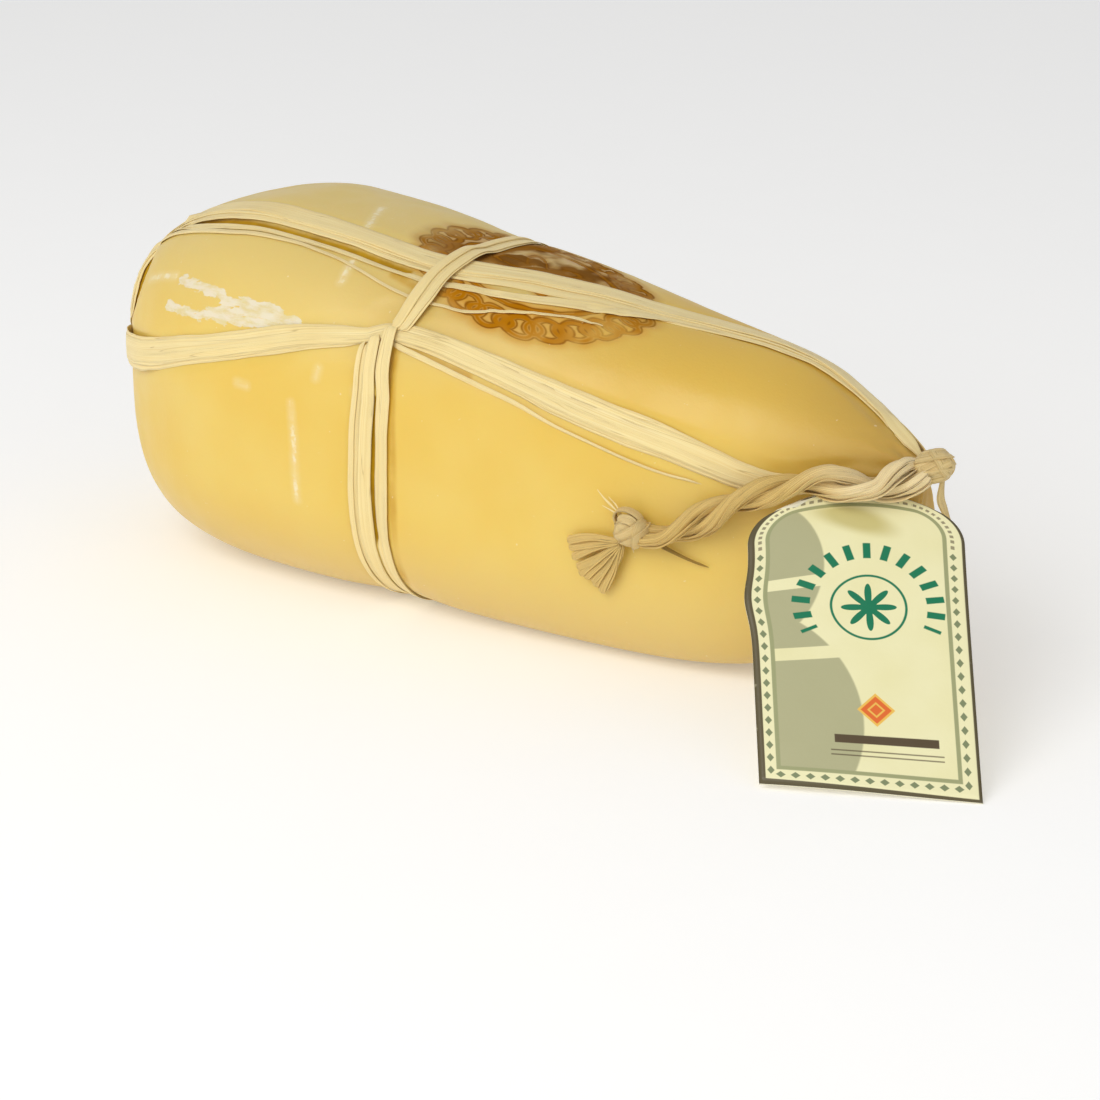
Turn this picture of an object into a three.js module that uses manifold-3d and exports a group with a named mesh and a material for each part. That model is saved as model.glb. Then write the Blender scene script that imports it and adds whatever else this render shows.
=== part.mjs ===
// A stretched-curd cheese lying on its side, bound with raffia, with a twisted cord and a paper tag.
// Millimetres, +Z up. +X runs from the fat base end to the tied tip, -Y is the front flank.
// The origin is on the flat spot of the belly, half way along the cheese.
import * as THREE from 'three';
import { mergeVertices } from 'three/addons/utils/BufferGeometryUtils.js';
import Module from 'manifold-3d';

// The cheese
const LENGTH = 253;
const HALF_WIDTH = 48.3;
const TOP_RISE = 49.4; // from the axis up to the top, at the fattest station
const POLE_HEIGHT = 59.3; // of the base pole and of the tip, before the belly settles
const AXIS_SAG = 7.1; // how far the axis dips between those two poles
const BELLY_SETTLE = 1.5; // the soft belly is flat where it would reach below this
const FATTEST = 0.24; // station of the fattest section, as a share of the length from the base
const UNDERSIDE_MIDDLE = 0.45; // station where the underside starts to lift towards both ends
const BASE_END = { reach: 1.61, round: 2.23 };
const TIP_END = { reach: 1.74, round: 1.45 };
const UNDERSIDE_END = { reach: 5.5, round: 2.2 };
const SQUARE_TOP = 2.5; // power of the section's curve above the axis, where 2 is an ellipse
const SQUARE_LOW = 3.13; // and below it, where the cheese has slumped
const AROUND = 48;
const STATIONS = 46;

// The waist and the groove that the girth raffia has pressed into the rind
const GIRTH_X = -16;
const WAIST_SHARE = 0.025;
const WAIST_LENGTH = 15;
const GROOVE_DEPTH = 1.8;
const GROOVE_FLAT = 6.5; // half the width of the groove's ceiling
const GROOVE_EDGE = 9; // half the width of its mouth

// The raffia
const STRIP_THICKNESS = 0.9;
const REST_GAP = 0.45; // between a strip and the rind, or between two strips
const OVER = STRIP_THICKNESS + REST_GAP; // extra lift of a strip that crosses another
const TOP_BAND_WIDTH = 7;
const FRONT_BAND_WIDTH = 9;
const THIN_STRAND_WIDTH = 1.9;
const FRONT_STRAND_WIDTH = 1.4;
const LOOSE_STRAND_WIDTH = 1;
const BAND_STEPS = 96;
const GIRTH_STEPS = 62;

// The cord, its knots and the tassel
const CORD_RADIUS = 3.75;
const CORD_STEPS = 34;
const TIP_KNOT = { x: 130.5, y: -1.5, z: 61.5, alongX: 4.9, acrossY: 5, upZ: 4.8 };
const END_KNOT = { x: 60.6, y: -36.1, z: 40.3, alongX: 5.1, acrossY: 4.1, upZ: 5 };
const TASSEL_STRANDS = 6;
const TASSEL_THICKNESS = 1.5;

// The tag
const TAG_WIDTH = 51;
const TAG_LENGTH = 78;
const TAG_THICKNESS = 0.6;
const TAG_SHOULDER = 12; // radius of its two upper corners
const TAG_ARCH = 3; // rise of its upper edge between them
const TAG_TOP = { x: 113, y: -15.3, z: 52.3 };
const TAG_FACING = THREE.MathUtils.degToRad(37); // from -Y towards +X
const TAG_LEAN = Math.asin((TAG_TOP.z - 1.2) / TAG_LENGTH); // its lower edge stands on the floor
const TAG_WAVE = 1.1;
const TIE_RADIUS = 0.9;

const degrees = THREE.MathUtils.degToRad;
const smooth = THREE.MathUtils.smoothstep;

// Share of the full section that is left at a station, from 1 in the middle to 0 at both ends.
function sectionShare(station, middle, baseEnd, tipEnd) {
  const end = station < middle ? baseEnd : tipEnd;
  const span = station < middle ? middle : 1 - middle;
  const way = Math.min(Math.abs(station - middle) / span, 1);
  return Math.pow(1 - Math.pow(way, end.reach), 1 / end.round);
}

// Height of the groove's ceiling above the floor, at a place along the belly.
function grooveCeiling(x) {
  return GROOVE_DEPTH * (1 - smooth(Math.abs(x - GIRTH_X), GROOVE_FLAT, GROOVE_EDGE));
}

// A point of the rind. The angle is 0 at the front flank and a quarter turn on top.
function rind(station, angle) {
  const full = sectionShare(station, FATTEST, BASE_END, TIP_END);
  const under = sectionShare(station, UNDERSIDE_MIDDLE, UNDERSIDE_END, UNDERSIDE_END);
  const axis = POLE_HEIGHT - 4 * AXIS_SAG * station * (1 - station);
  const out = Math.cos(angle);
  const up = Math.sin(angle);
  const power = up > 0 ? SQUARE_TOP : SQUARE_LOW;
  const square = Math.pow(Math.pow(Math.abs(out), power) + Math.pow(Math.abs(up), power), -1 / power);
  const lowShare = up < 0 ? up * up : 0;
  const wide = HALF_WIDTH * (full + (under - full) * lowShare);
  const tall = up > 0 ? TOP_RISE * full : axis * under;
  const x = (station - 0.5) * LENGTH;
  const waist = 1 - WAIST_SHARE * Math.exp(-(((x - GIRTH_X) / WAIST_LENGTH) ** 2));
  const y = -wide * out * square * waist;
  const settled = Math.max(axis + tall * up * square * waist, BELLY_SETTLE) - BELLY_SETTLE;
  const z = up < 0 ? Math.max(settled, grooveCeiling(x)) : settled;
  return new THREE.Vector3(x, y, z);
}

function rindNormal(station, angle) {
  const step = 0.0008;
  const turn = 0.004;
  const along = rind(Math.min(station + step, 1), angle).sub(rind(Math.max(station - step, 0), angle));
  const round = rind(station, angle + turn).sub(rind(station, angle - turn));
  return along.cross(round).normalize();
}

function onRind(station, angle, lift) {
  return rind(station, angle).addScaledVector(rindNormal(station, angle), lift);
}

function stationAt(x) {
  return x / LENGTH + 0.5;
}

// Stations of the cheese's rings: closer together at both ends and across the groove.
function ringStations() {
  const rings = [];
  for (let i = 0; i <= STATIONS; i++) {
    const station = 0.5 - 0.5 * Math.cos((Math.PI * i) / STATIONS);
    const x = (station - 0.5) * LENGTH;
    if (Math.abs(x - GIRTH_X) > GROOVE_EDGE + 2) {
      rings.push(station);
    }
  }
  const edges = [GROOVE_FLAT, (GROOVE_FLAT + GROOVE_EDGE) / 2, GROOVE_EDGE, GROOVE_EDGE + 2];
  for (const edge of edges) {
    rings.push(stationAt(GIRTH_X - edge), stationAt(GIRTH_X + edge));
  }
  rings.push(stationAt(GIRTH_X));
  return rings.sort((a, b) => a - b);
}

function cheeseGeometry() {
  const rings = ringStations();
  const geometry = new THREE.SphereGeometry(1, AROUND, rings.length - 1);
  const place = geometry.attributes.position;
  for (let ring = 0; ring < rings.length; ring++) {
    for (let i = 0; i <= AROUND; i++) {
      const point = rind(rings[ring], (2 * Math.PI * (i % AROUND)) / AROUND);
      place.setXYZ(ring * (AROUND + 1) + i, point.x, point.y, point.z);
    }
  }
  return geometry;
}

// A route on the rind through [station, degrees] points. They are drawn as a flat map round the
// base pole, at a radius that is the root of the station, so that a route can pass over the pole.
function mapRoute(points) {
  const flat = points.map(([station, angle]) => {
    const radius = Math.sqrt(station);
    return new THREE.Vector3(radius * Math.cos(degrees(angle)), radius * Math.sin(degrees(angle)), 0);
  });
  const curve = new THREE.CatmullRomCurve3(flat);
  return (t) => {
    const spot = curve.getPointAt(THREE.MathUtils.clamp(t, 0, 1));
    return { station: spot.lengthSq(), angle: Math.atan2(spot.y, spot.x) };
  };
}

// A route through [degrees, x] points that runs round the cheese.
function roundRoute(points) {
  const curve = new THREE.CatmullRomCurve3(points.map(([angle, x]) => new THREE.Vector3(angle, x, 0)));
  return (t) => {
    const spot = curve.getPointAt(THREE.MathUtils.clamp(t, 0, 1));
    return { station: stationAt(spot.y), angle: degrees(spot.x) };
  };
}

// A strip of raffia: a box of many steps, bent along a route and laid flat on the rind.
function strip(steps, route, width, lift) {
  const geometry = new THREE.BoxGeometry(1, 1, 1, steps, 1, 1);
  const place = geometry.attributes.position;
  const step = 0.25 / steps;
  for (let i = 0; i < place.count; i++) {
    const t = place.getX(i) + 0.5;
    const spot = route(t);
    const before = route(t - step);
    const after = route(t + step);
    const normal = rindNormal(spot.station, spot.angle);
    const along = rind(after.station, after.angle).sub(rind(before.station, before.angle));
    const side = normal.clone().cross(along).normalize();
    const point = rind(spot.station, spot.angle);
    point.addScaledVector(side, place.getY(i) * width(t, spot));
    point.addScaledVector(normal, lift(t, spot) + (place.getZ(i) + 0.5) * STRIP_THICKNESS);
    place.setXYZ(i, point.x, point.y, point.z);
  }
  return geometry;
}

const resting = () => REST_GAP;

// From 0 at both ends of a strip to 1 within a share of its length
function awayFromEnds(t, share) {
  return smooth(Math.min(t, 1 - t), 0, share);
}

// The top band runs from the tip over the top, across the base end and back along the far flank.
const topBandRoute = mapRoute([
  [0.99, 95], [0.92, 103], [0.8, 105], [0.71, 95], [0.61, 77], [0.47, 68], [0.35, 65], [0.2, 66],
  [0.11, 66], [0.05, 66], [0.02, 75], [0.004, 130], [0.02, 190], [0.05, 204], [0.15, 206],
  [0.3, 203], [0.45, 200], [0.65, 197], [0.8, 193], [0.9, 190], [0.985, 187],
]);

function topBandWidth(t) {
  return TOP_BAND_WIDTH * (0.28 + 0.72 * awayFromEnds(t, 0.1));
}

// The front band runs from under the cord along the front flank, over the top band on the far side
// of the base end, and back high on the far flank. The girth pinches it.
const frontBandRoute = mapRoute([
  [0.962, 0], [0.88, -1], [0.84, 3], [0.79, 11], [0.72, 20], [0.64, 27], [0.55, 33], [0.45, 37],
  [0.41, 33.5], [0.35, 28], [0.27, 21], [0.19, 14], [0.12, 7], [0.05, 0], [0.014, -5],
  [0.0003, -90], [0.014, 184], [0.05, 174], [0.15, 163], [0.3, 156], [0.45, 151], [0.65, 149],
  [0.8, 147], [0.9, 144], [0.985, 138],
]);
const PINCH_REACH = 11;
const PINCH_SHARE = 0.55;

function frontBandWidth(t, spot) {
  const away = (spot.station - stationAt(GIRTH_X)) * LENGTH;
  const pinch = PINCH_SHARE * Math.exp(-((away / PINCH_REACH) ** 2));
  return FRONT_BAND_WIDTH * (0.24 + 0.76 * awayFromEnds(t, 0.1)) * (1 - pinch);
}

// Where the front band crosses the top band, as a place on the map towards the far side
const BASE_CROSSING = { middle: 0.115, half: 0.07, end: 0.12 };

function frontBandLift(t, spot) {
  const towardsFar = -Math.sqrt(spot.station) * Math.cos(spot.angle);
  const away = Math.abs(towardsFar - BASE_CROSSING.middle);
  return REST_GAP + OVER * (1 - smooth(away, BASE_CROSSING.half, BASE_CROSSING.end));
}

// Single strands that have slipped out of the two bands
const topThinRoute = mapRoute([
  [0.02, 38], [0.035, 43], [0.06, 50], [0.1, 54], [0.165, 54], [0.22, 55], [0.28, 57], [0.37, 57.5],
  [0.445, 57.5], [0.535, 60], [0.6, 63.5],
]);
const topLooseRoute = mapRoute([
  [0.31, 53], [0.346, 52], [0.4, 51], [0.43, 50], [0.476, 49.7], [0.519, 49.7], [0.557, 54.5],
  [0.608, 58], [0.65, 60],
]);
const frontThinRoute = mapRoute([
  [0.468, 30.5], [0.53, 26.3], [0.595, 22.2], [0.639, 18], [0.685, 13], [0.74, 5.2], [0.79, -0.5],
]);

// The girth starts on the front band, passes under the belly, up the far flank and over the top band.
const girthRoute = [
  [41, -15.5], [15, -15], [0, -15.7], [-35, -17.4], [-60, -16.5], [-90, GIRTH_X], [-180, -14],
  [-245, -11.5], [-270, -9.5], [-290, -7.8], [-305, -8.2], [-316, -11],
];
const girthSpread = [
  [41, 5.4], [15, 8.5], [-15, 12], [-45, 9.5], [-75, 8], [-180, 8], [-250, 5], [-280, 4.6], [-316, 4.6],
];
const GIRTH_STRANDS = [
  { name: 'girth_left', from: -0.5, to: -0.24 },
  { name: 'girth_middle', from: -0.15, to: 0.13 },
  { name: 'girth_right', from: 0.22, to: 0.5 },
];
const GIRTH_CROSSINGS = [
  { angle: 37, half: 12 },
  { angle: -301, half: 19 },
  { angle: -160, half: 11 },
  { angle: -209, half: 11 },
];

// Straight steps between [degrees, size] points
function between(points, angle) {
  for (let i = 1; i < points.length; i++) {
    if (angle >= points[i][0]) {
      const share = (points[i - 1][0] - angle) / (points[i - 1][0] - points[i][0]);
      return points[i - 1][1] + (points[i][1] - points[i - 1][1]) * share;
    }
  }
  return points[points.length - 1][1];
}

function girthStrand({ from, to }) {
  const middle = (from + to) / 2;
  const path = roundRoute(girthRoute);
  const route = (t) => {
    const spot = path(t);
    const turn = THREE.MathUtils.radToDeg(spot.angle);
    spot.station += (middle * between(girthSpread, turn)) / LENGTH;
    return spot;
  };
  const width = (t, spot) => (to - from) * between(girthSpread, THREE.MathUtils.radToDeg(spot.angle));
  const lift = (t, spot) => {
    const turn = THREE.MathUtils.radToDeg(spot.angle);
    let over = 0;
    for (const crossing of GIRTH_CROSSINGS) {
      const away = Math.abs(turn - crossing.angle);
      over = Math.max(over, 1 - smooth(away, crossing.half, crossing.half + 10));
    }
    return REST_GAP + OVER * over;
  };
  return strip(GIRTH_STEPS, route, width, lift);
}

// The twisted cord lies along the front flank, from the tip knot to the end knot.
const cordRoute = new THREE.CatmullRomCurve3([
  new THREE.Vector3(127.5, -5.5, 60),
  new THREE.Vector3(124.5, -10, 58.6),
  new THREE.Vector3(120.3, -13.3, 56.2),
  new THREE.Vector3(114, -17, 56.6),
  new THREE.Vector3(107.4, -20.2, 57.6),
  new THREE.Vector3(101.9, -22.7, 56.4),
  new THREE.Vector3(93, -26.3, 52.6),
  new THREE.Vector3(86.2, -28.6, 49),
  new THREE.Vector3(79.4, -31, 44.4),
  new THREE.Vector3(74.7, -32.7, 41.3),
  new THREE.Vector3(70, -34.3, 39.3),
  new THREE.Vector3(66.5, -35.3, 39.2),
]);

function tube(curve, radius, steps, halfSides) {
  const section = new THREE.Shape();
  section.absarc(0, 0, radius, 0, 2 * Math.PI);
  return new THREE.ExtrudeGeometry(section, {
    steps,
    curveSegments: halfSides,
    bevelEnabled: false,
    extrudePath: curve,
  });
}

// A knot is a ball with shallow turns of raffia round it.
function knotGeometry(size, turns, depth) {
  const geometry = new THREE.SphereGeometry(1, 18, 12);
  const place = geometry.attributes.position;
  const point = new THREE.Vector3();
  for (let i = 0; i < place.count; i++) {
    point.fromBufferAttribute(place, i);
    const rope = 1 - depth * (0.5 + 0.5 * Math.cos(turns * Math.PI * (point.x + 0.4 * point.z)));
    point.multiplyScalar(rope);
    const x = size.x + point.x * size.alongX;
    const y = size.y + point.y * size.acrossY;
    const z = size.z + point.z * size.upZ;
    place.setXYZ(i, x, y, z);
  }
  return geometry;
}

const wasm = await Module();
wasm.setup();

function solidOf(geometry) {
  const bare = geometry.clone();
  bare.deleteAttribute('normal');
  bare.deleteAttribute('uv');
  const merged = mergeVertices(bare, 1e-3);
  const vertProperties = new Float32Array(merged.attributes.position.array);
  const triVerts = new Uint32Array(merged.index.array);
  return new wasm.Manifold(new wasm.Mesh({ numProp: 3, vertProperties, triVerts }));
}

function fuse(geometries) {
  let whole = solidOf(geometries[0]);
  for (const geometry of geometries.slice(1)) {
    whole = whole.add(solidOf(geometry));
  }
  const mesh = whole.getMesh();
  const fused = new THREE.BufferGeometry();
  fused.setAttribute('position', new THREE.BufferAttribute(new Float32Array(mesh.vertProperties), 3));
  fused.setIndex(new THREE.BufferAttribute(new Uint32Array(mesh.triVerts), 1));
  return fused;
}

// A short straight strip from one [station, degrees, lift] place to another
function strand(from, to, width) {
  const route = (t) => ({
    station: THREE.MathUtils.lerp(from[0], to[0], t),
    angle: degrees(THREE.MathUtils.lerp(from[1], to[1], t)),
  });
  const lift = (t) => THREE.MathUtils.lerp(from[2], to[2], t);
  return strip(5, route, () => width, lift);
}

// The frayed end: a fan of strands that opens out of the knot and rests on the rind, with a ridge
// and a longer tip for every second line across it
const TASSEL_ROOT = { station: 0.717, angle: -17.4, spread: 4, lift: 1.6 };
const TASSEL_FAN = { first: [0.672, -19.5], last: [0.713, -32.5], lift: 0.6 };

function tasselGeometry() {
  const geometry = new THREE.BoxGeometry(1, 1, 1, 5, 2 * TASSEL_STRANDS, 1);
  const place = geometry.attributes.position;
  for (let i = 0; i < place.count; i++) {
    const share = place.getY(i) + 0.5;
    const line = Math.round(share * 2 * TASSEL_STRANDS);
    const ridge = line % 2;
    const reach = (place.getX(i) + 0.5) * (ridge ? 1 : 0.72 + 0.08 * Math.sin(2.6 * line));
    const rootAngle = TASSEL_ROOT.angle + TASSEL_ROOT.spread * (0.5 - share);
    const tipStation = THREE.MathUtils.lerp(TASSEL_FAN.first[0], TASSEL_FAN.last[0], share);
    const tipAngle = THREE.MathUtils.lerp(TASSEL_FAN.first[1], TASSEL_FAN.last[1], share);
    const station = THREE.MathUtils.lerp(TASSEL_ROOT.station, tipStation, reach);
    const angle = degrees(THREE.MathUtils.lerp(rootAngle, tipAngle, reach));
    const lift = THREE.MathUtils.lerp(TASSEL_ROOT.lift, TASSEL_FAN.lift, reach) + 0.4 * ridge;
    const point = onRind(station, angle, lift + (place.getZ(i) + 0.5) * TASSEL_THICKNESS);
    place.setXYZ(i, point.x, point.y, point.z);
  }
  return geometry;
}

// The end knot, with the tuft that stands out above it and the stray strand below the cord
function endKnotGeometry() {
  const tuft = strand([0.725, -11, 3.5], [0.702, -6.2, 1.6], 2.2);
  const stray = strand([0.736, -17, 3.2], [0.812, -24, 1.6], LOOSE_STRAND_WIDTH);
  return fuse([knotGeometry(END_KNOT, 2.2, 0.08), tuft, stray]);
}

// The tag is a thin wavy card, flat below and arched above, built with its upper edge at the origin.
function tagHalfWidth(down) {
  if (down >= TAG_SHOULDER) {
    return TAG_WIDTH / 2;
  }
  const corner = TAG_SHOULDER - down;
  return TAG_WIDTH / 2 - TAG_SHOULDER + Math.sqrt(TAG_SHOULDER ** 2 - corner ** 2);
}

function tagGeometry() {
  const geometry = new THREE.BoxGeometry(1, 1, 1, 8, 16, 1);
  const place = geometry.attributes.position;
  for (let i = 0; i < place.count; i++) {
    const across = 2 * place.getX(i);
    const share = 0.5 - place.getY(i);
    const down = TAG_LENGTH * share * (0.35 + 0.65 * share);
    const x = across * tagHalfWidth(down);
    const arch = TAG_ARCH * across ** 2 * (1 - smooth(down, 0, TAG_LENGTH / 2));
    const ripple = Math.sin((3.6 * down) / TAG_LENGTH + 0.5) * Math.sin(1.6 * across - 0.6);
    const wave = TAG_WAVE * ripple * share;
    place.setXYZ(i, x, -down - arch, wave + place.getZ(i) * TAG_THICKNESS);
  }
  return geometry;
}

// The tie hangs from the tip knot and goes behind the right shoulder of the tag.
const tieRoute = new THREE.CatmullRomCurve3([
  new THREE.Vector3(131.4, -2.6, 56),
  new THREE.Vector3(131.2, -2.6, 53),
  new THREE.Vector3(131.6, -1.4, 50),
  new THREE.Vector3(132.6, -0.4, 46.5),
]);

const rindFinish = new THREE.MeshStandardMaterial({ color: 0xe6c86e, roughness: 0.45, metalness: 0 });
const raffiaFinish = new THREE.MeshStandardMaterial({ color: 0xead8a4, roughness: 0.75, metalness: 0 });
const cordFinish = new THREE.MeshStandardMaterial({ color: 0xb9a06c, roughness: 0.85, metalness: 0 });
const tagFinish = new THREE.MeshStandardMaterial({ color: 0xefeab8, roughness: 0.5, metalness: 0 });

const part = new THREE.Group();

function add(name, geometry, finish, parent = part) {
  const mesh = new THREE.Mesh(geometry, finish);
  mesh.name = name;
  parent.add(mesh);
}

add('cheese', cheeseGeometry(), rindFinish);
add('band_top', strip(BAND_STEPS, topBandRoute, topBandWidth, resting), raffiaFinish);
add('band_front', strip(BAND_STEPS, frontBandRoute, frontBandWidth, frontBandLift), raffiaFinish);
add('strand_top_thin', strip(44, topThinRoute, () => THIN_STRAND_WIDTH, resting), raffiaFinish);
add('strand_top_loose', strip(30, topLooseRoute, () => LOOSE_STRAND_WIDTH, resting), raffiaFinish);
add('strand_front_thin', strip(26, frontThinRoute, () => FRONT_STRAND_WIDTH, resting), raffiaFinish);
for (const piece of GIRTH_STRANDS) {
  add(piece.name, girthStrand(piece), raffiaFinish);
}
add('tip_knot', knotGeometry(TIP_KNOT, 1.6, 0.08), cordFinish);
add('cord', tube(cordRoute, CORD_RADIUS, CORD_STEPS, 5), cordFinish);
add('end_knot', endKnotGeometry(), cordFinish);
add('tassel', tasselGeometry(), cordFinish);
add('tag_tie', tube(tieRoute, TIE_RADIUS, 8, 4), raffiaFinish);

const tagPlace = new THREE.Group();
tagPlace.position.set(TAG_TOP.x, TAG_TOP.y, TAG_TOP.z);
tagPlace.rotation.set(TAG_LEAN, 0, TAG_FACING, 'ZXY');
part.add(tagPlace);
add('tag', tagGeometry(), tagFinish, tagPlace);

export default part;
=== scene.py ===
import math

import bpy
import numpy as np
from mathutils import Matrix, Vector


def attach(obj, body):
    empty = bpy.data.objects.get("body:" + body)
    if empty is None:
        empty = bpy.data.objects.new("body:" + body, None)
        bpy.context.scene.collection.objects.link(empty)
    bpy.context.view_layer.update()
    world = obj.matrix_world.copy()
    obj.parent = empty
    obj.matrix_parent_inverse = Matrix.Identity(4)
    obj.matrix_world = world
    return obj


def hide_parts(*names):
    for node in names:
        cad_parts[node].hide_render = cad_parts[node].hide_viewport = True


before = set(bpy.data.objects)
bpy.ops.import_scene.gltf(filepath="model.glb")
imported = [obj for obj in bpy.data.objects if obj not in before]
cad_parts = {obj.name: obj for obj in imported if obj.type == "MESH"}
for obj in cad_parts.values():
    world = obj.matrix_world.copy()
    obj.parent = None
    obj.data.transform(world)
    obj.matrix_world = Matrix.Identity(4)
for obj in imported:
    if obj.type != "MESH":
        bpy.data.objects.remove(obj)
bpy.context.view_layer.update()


# Studio
# A plain pale floor under a soft white sky that is brightest round the horizon, with broad lamps on the
# camera's side. The camera stands where the photograph was taken from.
VIEW_AZIMUTH = math.radians(36)
VIEW_ELEVATION = math.radians(20)
VIEW_DISTANCE = 0.823
VIEW_TARGET = Vector((0.00731, 0.00531, 0.01076))
VIEW_LENS_MM = 98.18
SENSOR_WIDTH_MM = 36
FLOOR_SIZE = 9.0
FLOOR_COLOUR = (0.93, 0.93, 0.92)
FLOOR_GRAIN_SCALE = 40.0
FLOOR_GRAIN_SHADE = 0.985
FLOOR_ROUGHNESS = 0.9
FLOOR_GLOW = 0.2
SKY_RIM = (1.0, 1.0, 1.0)
SKY_OVERHEAD = (0.76, 0.76, 0.77)
SKY_FADE = (0.1, 0.9)
SKY_STRENGTH = 0.66
LAMP_AIM = Vector((0, 0, 0.05))
LAMP_WHITE = (1.0, 0.985, 0.96)


def direction_from(azimuth, elevation):
    """Unit vector from the object towards a viewer or a lamp."""
    flat = math.cos(elevation)
    return Vector((math.sin(azimuth) * flat, -math.cos(azimuth) * flat, math.sin(elevation)))


def place_facing(thing, spot, target):
    thing.location = spot
    thing.rotation_euler = (target - spot).to_track_quat("-Z", "Y").to_euler()
    bpy.context.scene.collection.objects.link(thing)


camera_data = bpy.data.cameras.new("camera")
camera_data.lens = VIEW_LENS_MM
camera_data.sensor_width = SENSOR_WIDTH_MM
camera_data.clip_start = 0.01
camera = bpy.data.objects.new("camera", camera_data)
view_back = direction_from(VIEW_AZIMUTH, VIEW_ELEVATION)
place_facing(camera, VIEW_TARGET + view_back * VIEW_DISTANCE, VIEW_TARGET)
bpy.context.scene.camera = camera
bpy.context.scene.view_settings.view_transform = "Standard"


def soft_lamp(name, azimuth, elevation, distance, size, watts):
    lamp_data = bpy.data.lights.new(name, "AREA")
    lamp_data.size = size
    lamp_data.energy = watts
    lamp_data.color = LAMP_WHITE
    lamp = bpy.data.objects.new(name, lamp_data)
    way = direction_from(math.radians(azimuth), math.radians(elevation))
    place_facing(lamp, way * distance, LAMP_AIM)


soft_lamp("key_lamp", azimuth=-2, elevation=40, distance=1.3, size=0.9, watts=7.4)
soft_lamp("fill_lamp", azimuth=75, elevation=18, distance=1.4, size=1.0, watts=1.1)


def feed(tree, socket, value):
    """Links a field to an input, or sets the input to a plain value."""
    if isinstance(value, Field):
        tree.links.new(value.socket, socket)
    else:
        socket.default_value = value


class Field:
    """A value inside a node tree, so that node maths reads as a formula."""

    def __init__(self, tree, socket):
        self.tree = tree
        self.socket = socket

    def __add__(self, other):
        return maths("ADD", self, other)

    def __radd__(self, other):
        return maths("ADD", other, self)

    def __sub__(self, other):
        return maths("SUBTRACT", self, other)

    def __rsub__(self, other):
        return maths("SUBTRACT", other, self)

    def __mul__(self, other):
        return maths("MULTIPLY", self, other)

    def __rmul__(self, other):
        return maths("MULTIPLY", other, self)

    def __truediv__(self, other):
        return maths("DIVIDE", self, other)

    def __rtruediv__(self, other):
        return maths("DIVIDE", other, self)

    def __pow__(self, other):
        return maths("POWER", self, other)

    def __abs__(self):
        return maths("ABSOLUTE", self)


def tree_of(values):
    return next(value.tree for value in values if isinstance(value, Field))


def maths(operation, *values):
    tree = tree_of(values)
    node = tree.nodes.new("ShaderNodeMath")
    node.operation = operation
    for socket, value in zip(node.inputs, values):
        feed(tree, socket, value)
    return Field(tree, node.outputs[0])


def smooth(value, low, high, at_low=0.0, at_high=1.0):
    """Goes softly from one number to another while a value goes from low to high."""
    node = value.tree.nodes.new("ShaderNodeMapRange")
    node.interpolation_type = "SMOOTHSTEP"
    for name, number in (("Value", value), ("From Min", low), ("From Max", high),
                         ("To Min", at_low), ("To Max", at_high)):
        feed(value.tree, node.inputs[name], number)
    return Field(value.tree, node.outputs[0])


def parts_of(vector):
    node = vector.tree.nodes.new("ShaderNodeSeparateXYZ")
    feed(vector.tree, node.inputs[0], vector)
    return [Field(vector.tree, socket) for socket in node.outputs]


def noise(place, scale, detail=2.0, roughness=0.5):
    """Soft random values from 0 to 1 at places given as a vector."""
    node = place.tree.nodes.new("ShaderNodeTexNoise")
    for name, value in (("Vector", place), ("Scale", scale), ("Detail", detail),
                        ("Roughness", roughness)):
        feed(place.tree, node.inputs[name], value)
    return Field(place.tree, node.outputs[0])


def mix_colours(share, first, second):
    tree = share.tree
    node = tree.nodes.new("ShaderNodeMix")
    node.data_type = "RGBA"
    feed(tree, node.inputs[0], share)
    feed(tree, node.inputs[6], first)
    feed(tree, node.inputs[7], second)
    return Field(tree, node.outputs[2])


def new_finish(name):
    """A material with nothing in it but the shader, ready for its pattern."""
    material = bpy.data.materials.new(name)
    material.use_nodes = True
    return material, material.node_tree, material.node_tree.nodes["Principled BSDF"]


def object_place(tree):
    node = tree.nodes.new("ShaderNodeTexCoord")
    return Field(tree, node.outputs["Object"])


world = bpy.data.worlds.new("sky")
world.use_nodes = True
bpy.context.scene.world = world
sky_tree = world.node_tree
sky_up = parts_of(Field(sky_tree, sky_tree.nodes.new("ShaderNodeTexCoord").outputs["Generated"]))[2]
sky_colour = mix_colours(smooth(sky_up, *SKY_FADE), (*SKY_RIM, 1), (*SKY_OVERHEAD, 1))
sky = sky_tree.nodes["Background"]
sky.inputs["Strength"].default_value = SKY_STRENGTH
feed(sky_tree, sky.inputs["Color"], sky_colour)

floor_mesh = bpy.data.meshes.new("floor")
half_floor = FLOOR_SIZE / 2
floor_mesh.from_pydata(
    [(-half_floor, -half_floor, 0), (half_floor, -half_floor, 0), (half_floor, half_floor, 0),
     (-half_floor, half_floor, 0)], [], [(0, 1, 2, 3)])
floor = bpy.data.objects.new("floor", floor_mesh)
bpy.context.scene.collection.objects.link(floor)
floor_finish, floor_tree, floor_shader = new_finish("floor_paint")
floor_grain = noise(object_place(floor_tree), FLOOR_GRAIN_SCALE)
floor_shade = tuple(channel * FLOOR_GRAIN_SHADE for channel in FLOOR_COLOUR)
feed(floor_tree, floor_shader.inputs["Base Color"],
     mix_colours(floor_grain, (*FLOOR_COLOUR, 1), (*floor_shade, 1)))
floor_shader.inputs["Roughness"].default_value = FLOOR_ROUGHNESS
floor_shader.inputs["Emission Color"].default_value = (1, 1, 1, 1)
floor_shader.inputs["Emission Strength"].default_value = FLOOR_GLOW
floor_mesh.materials.append(floor_finish)


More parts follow.
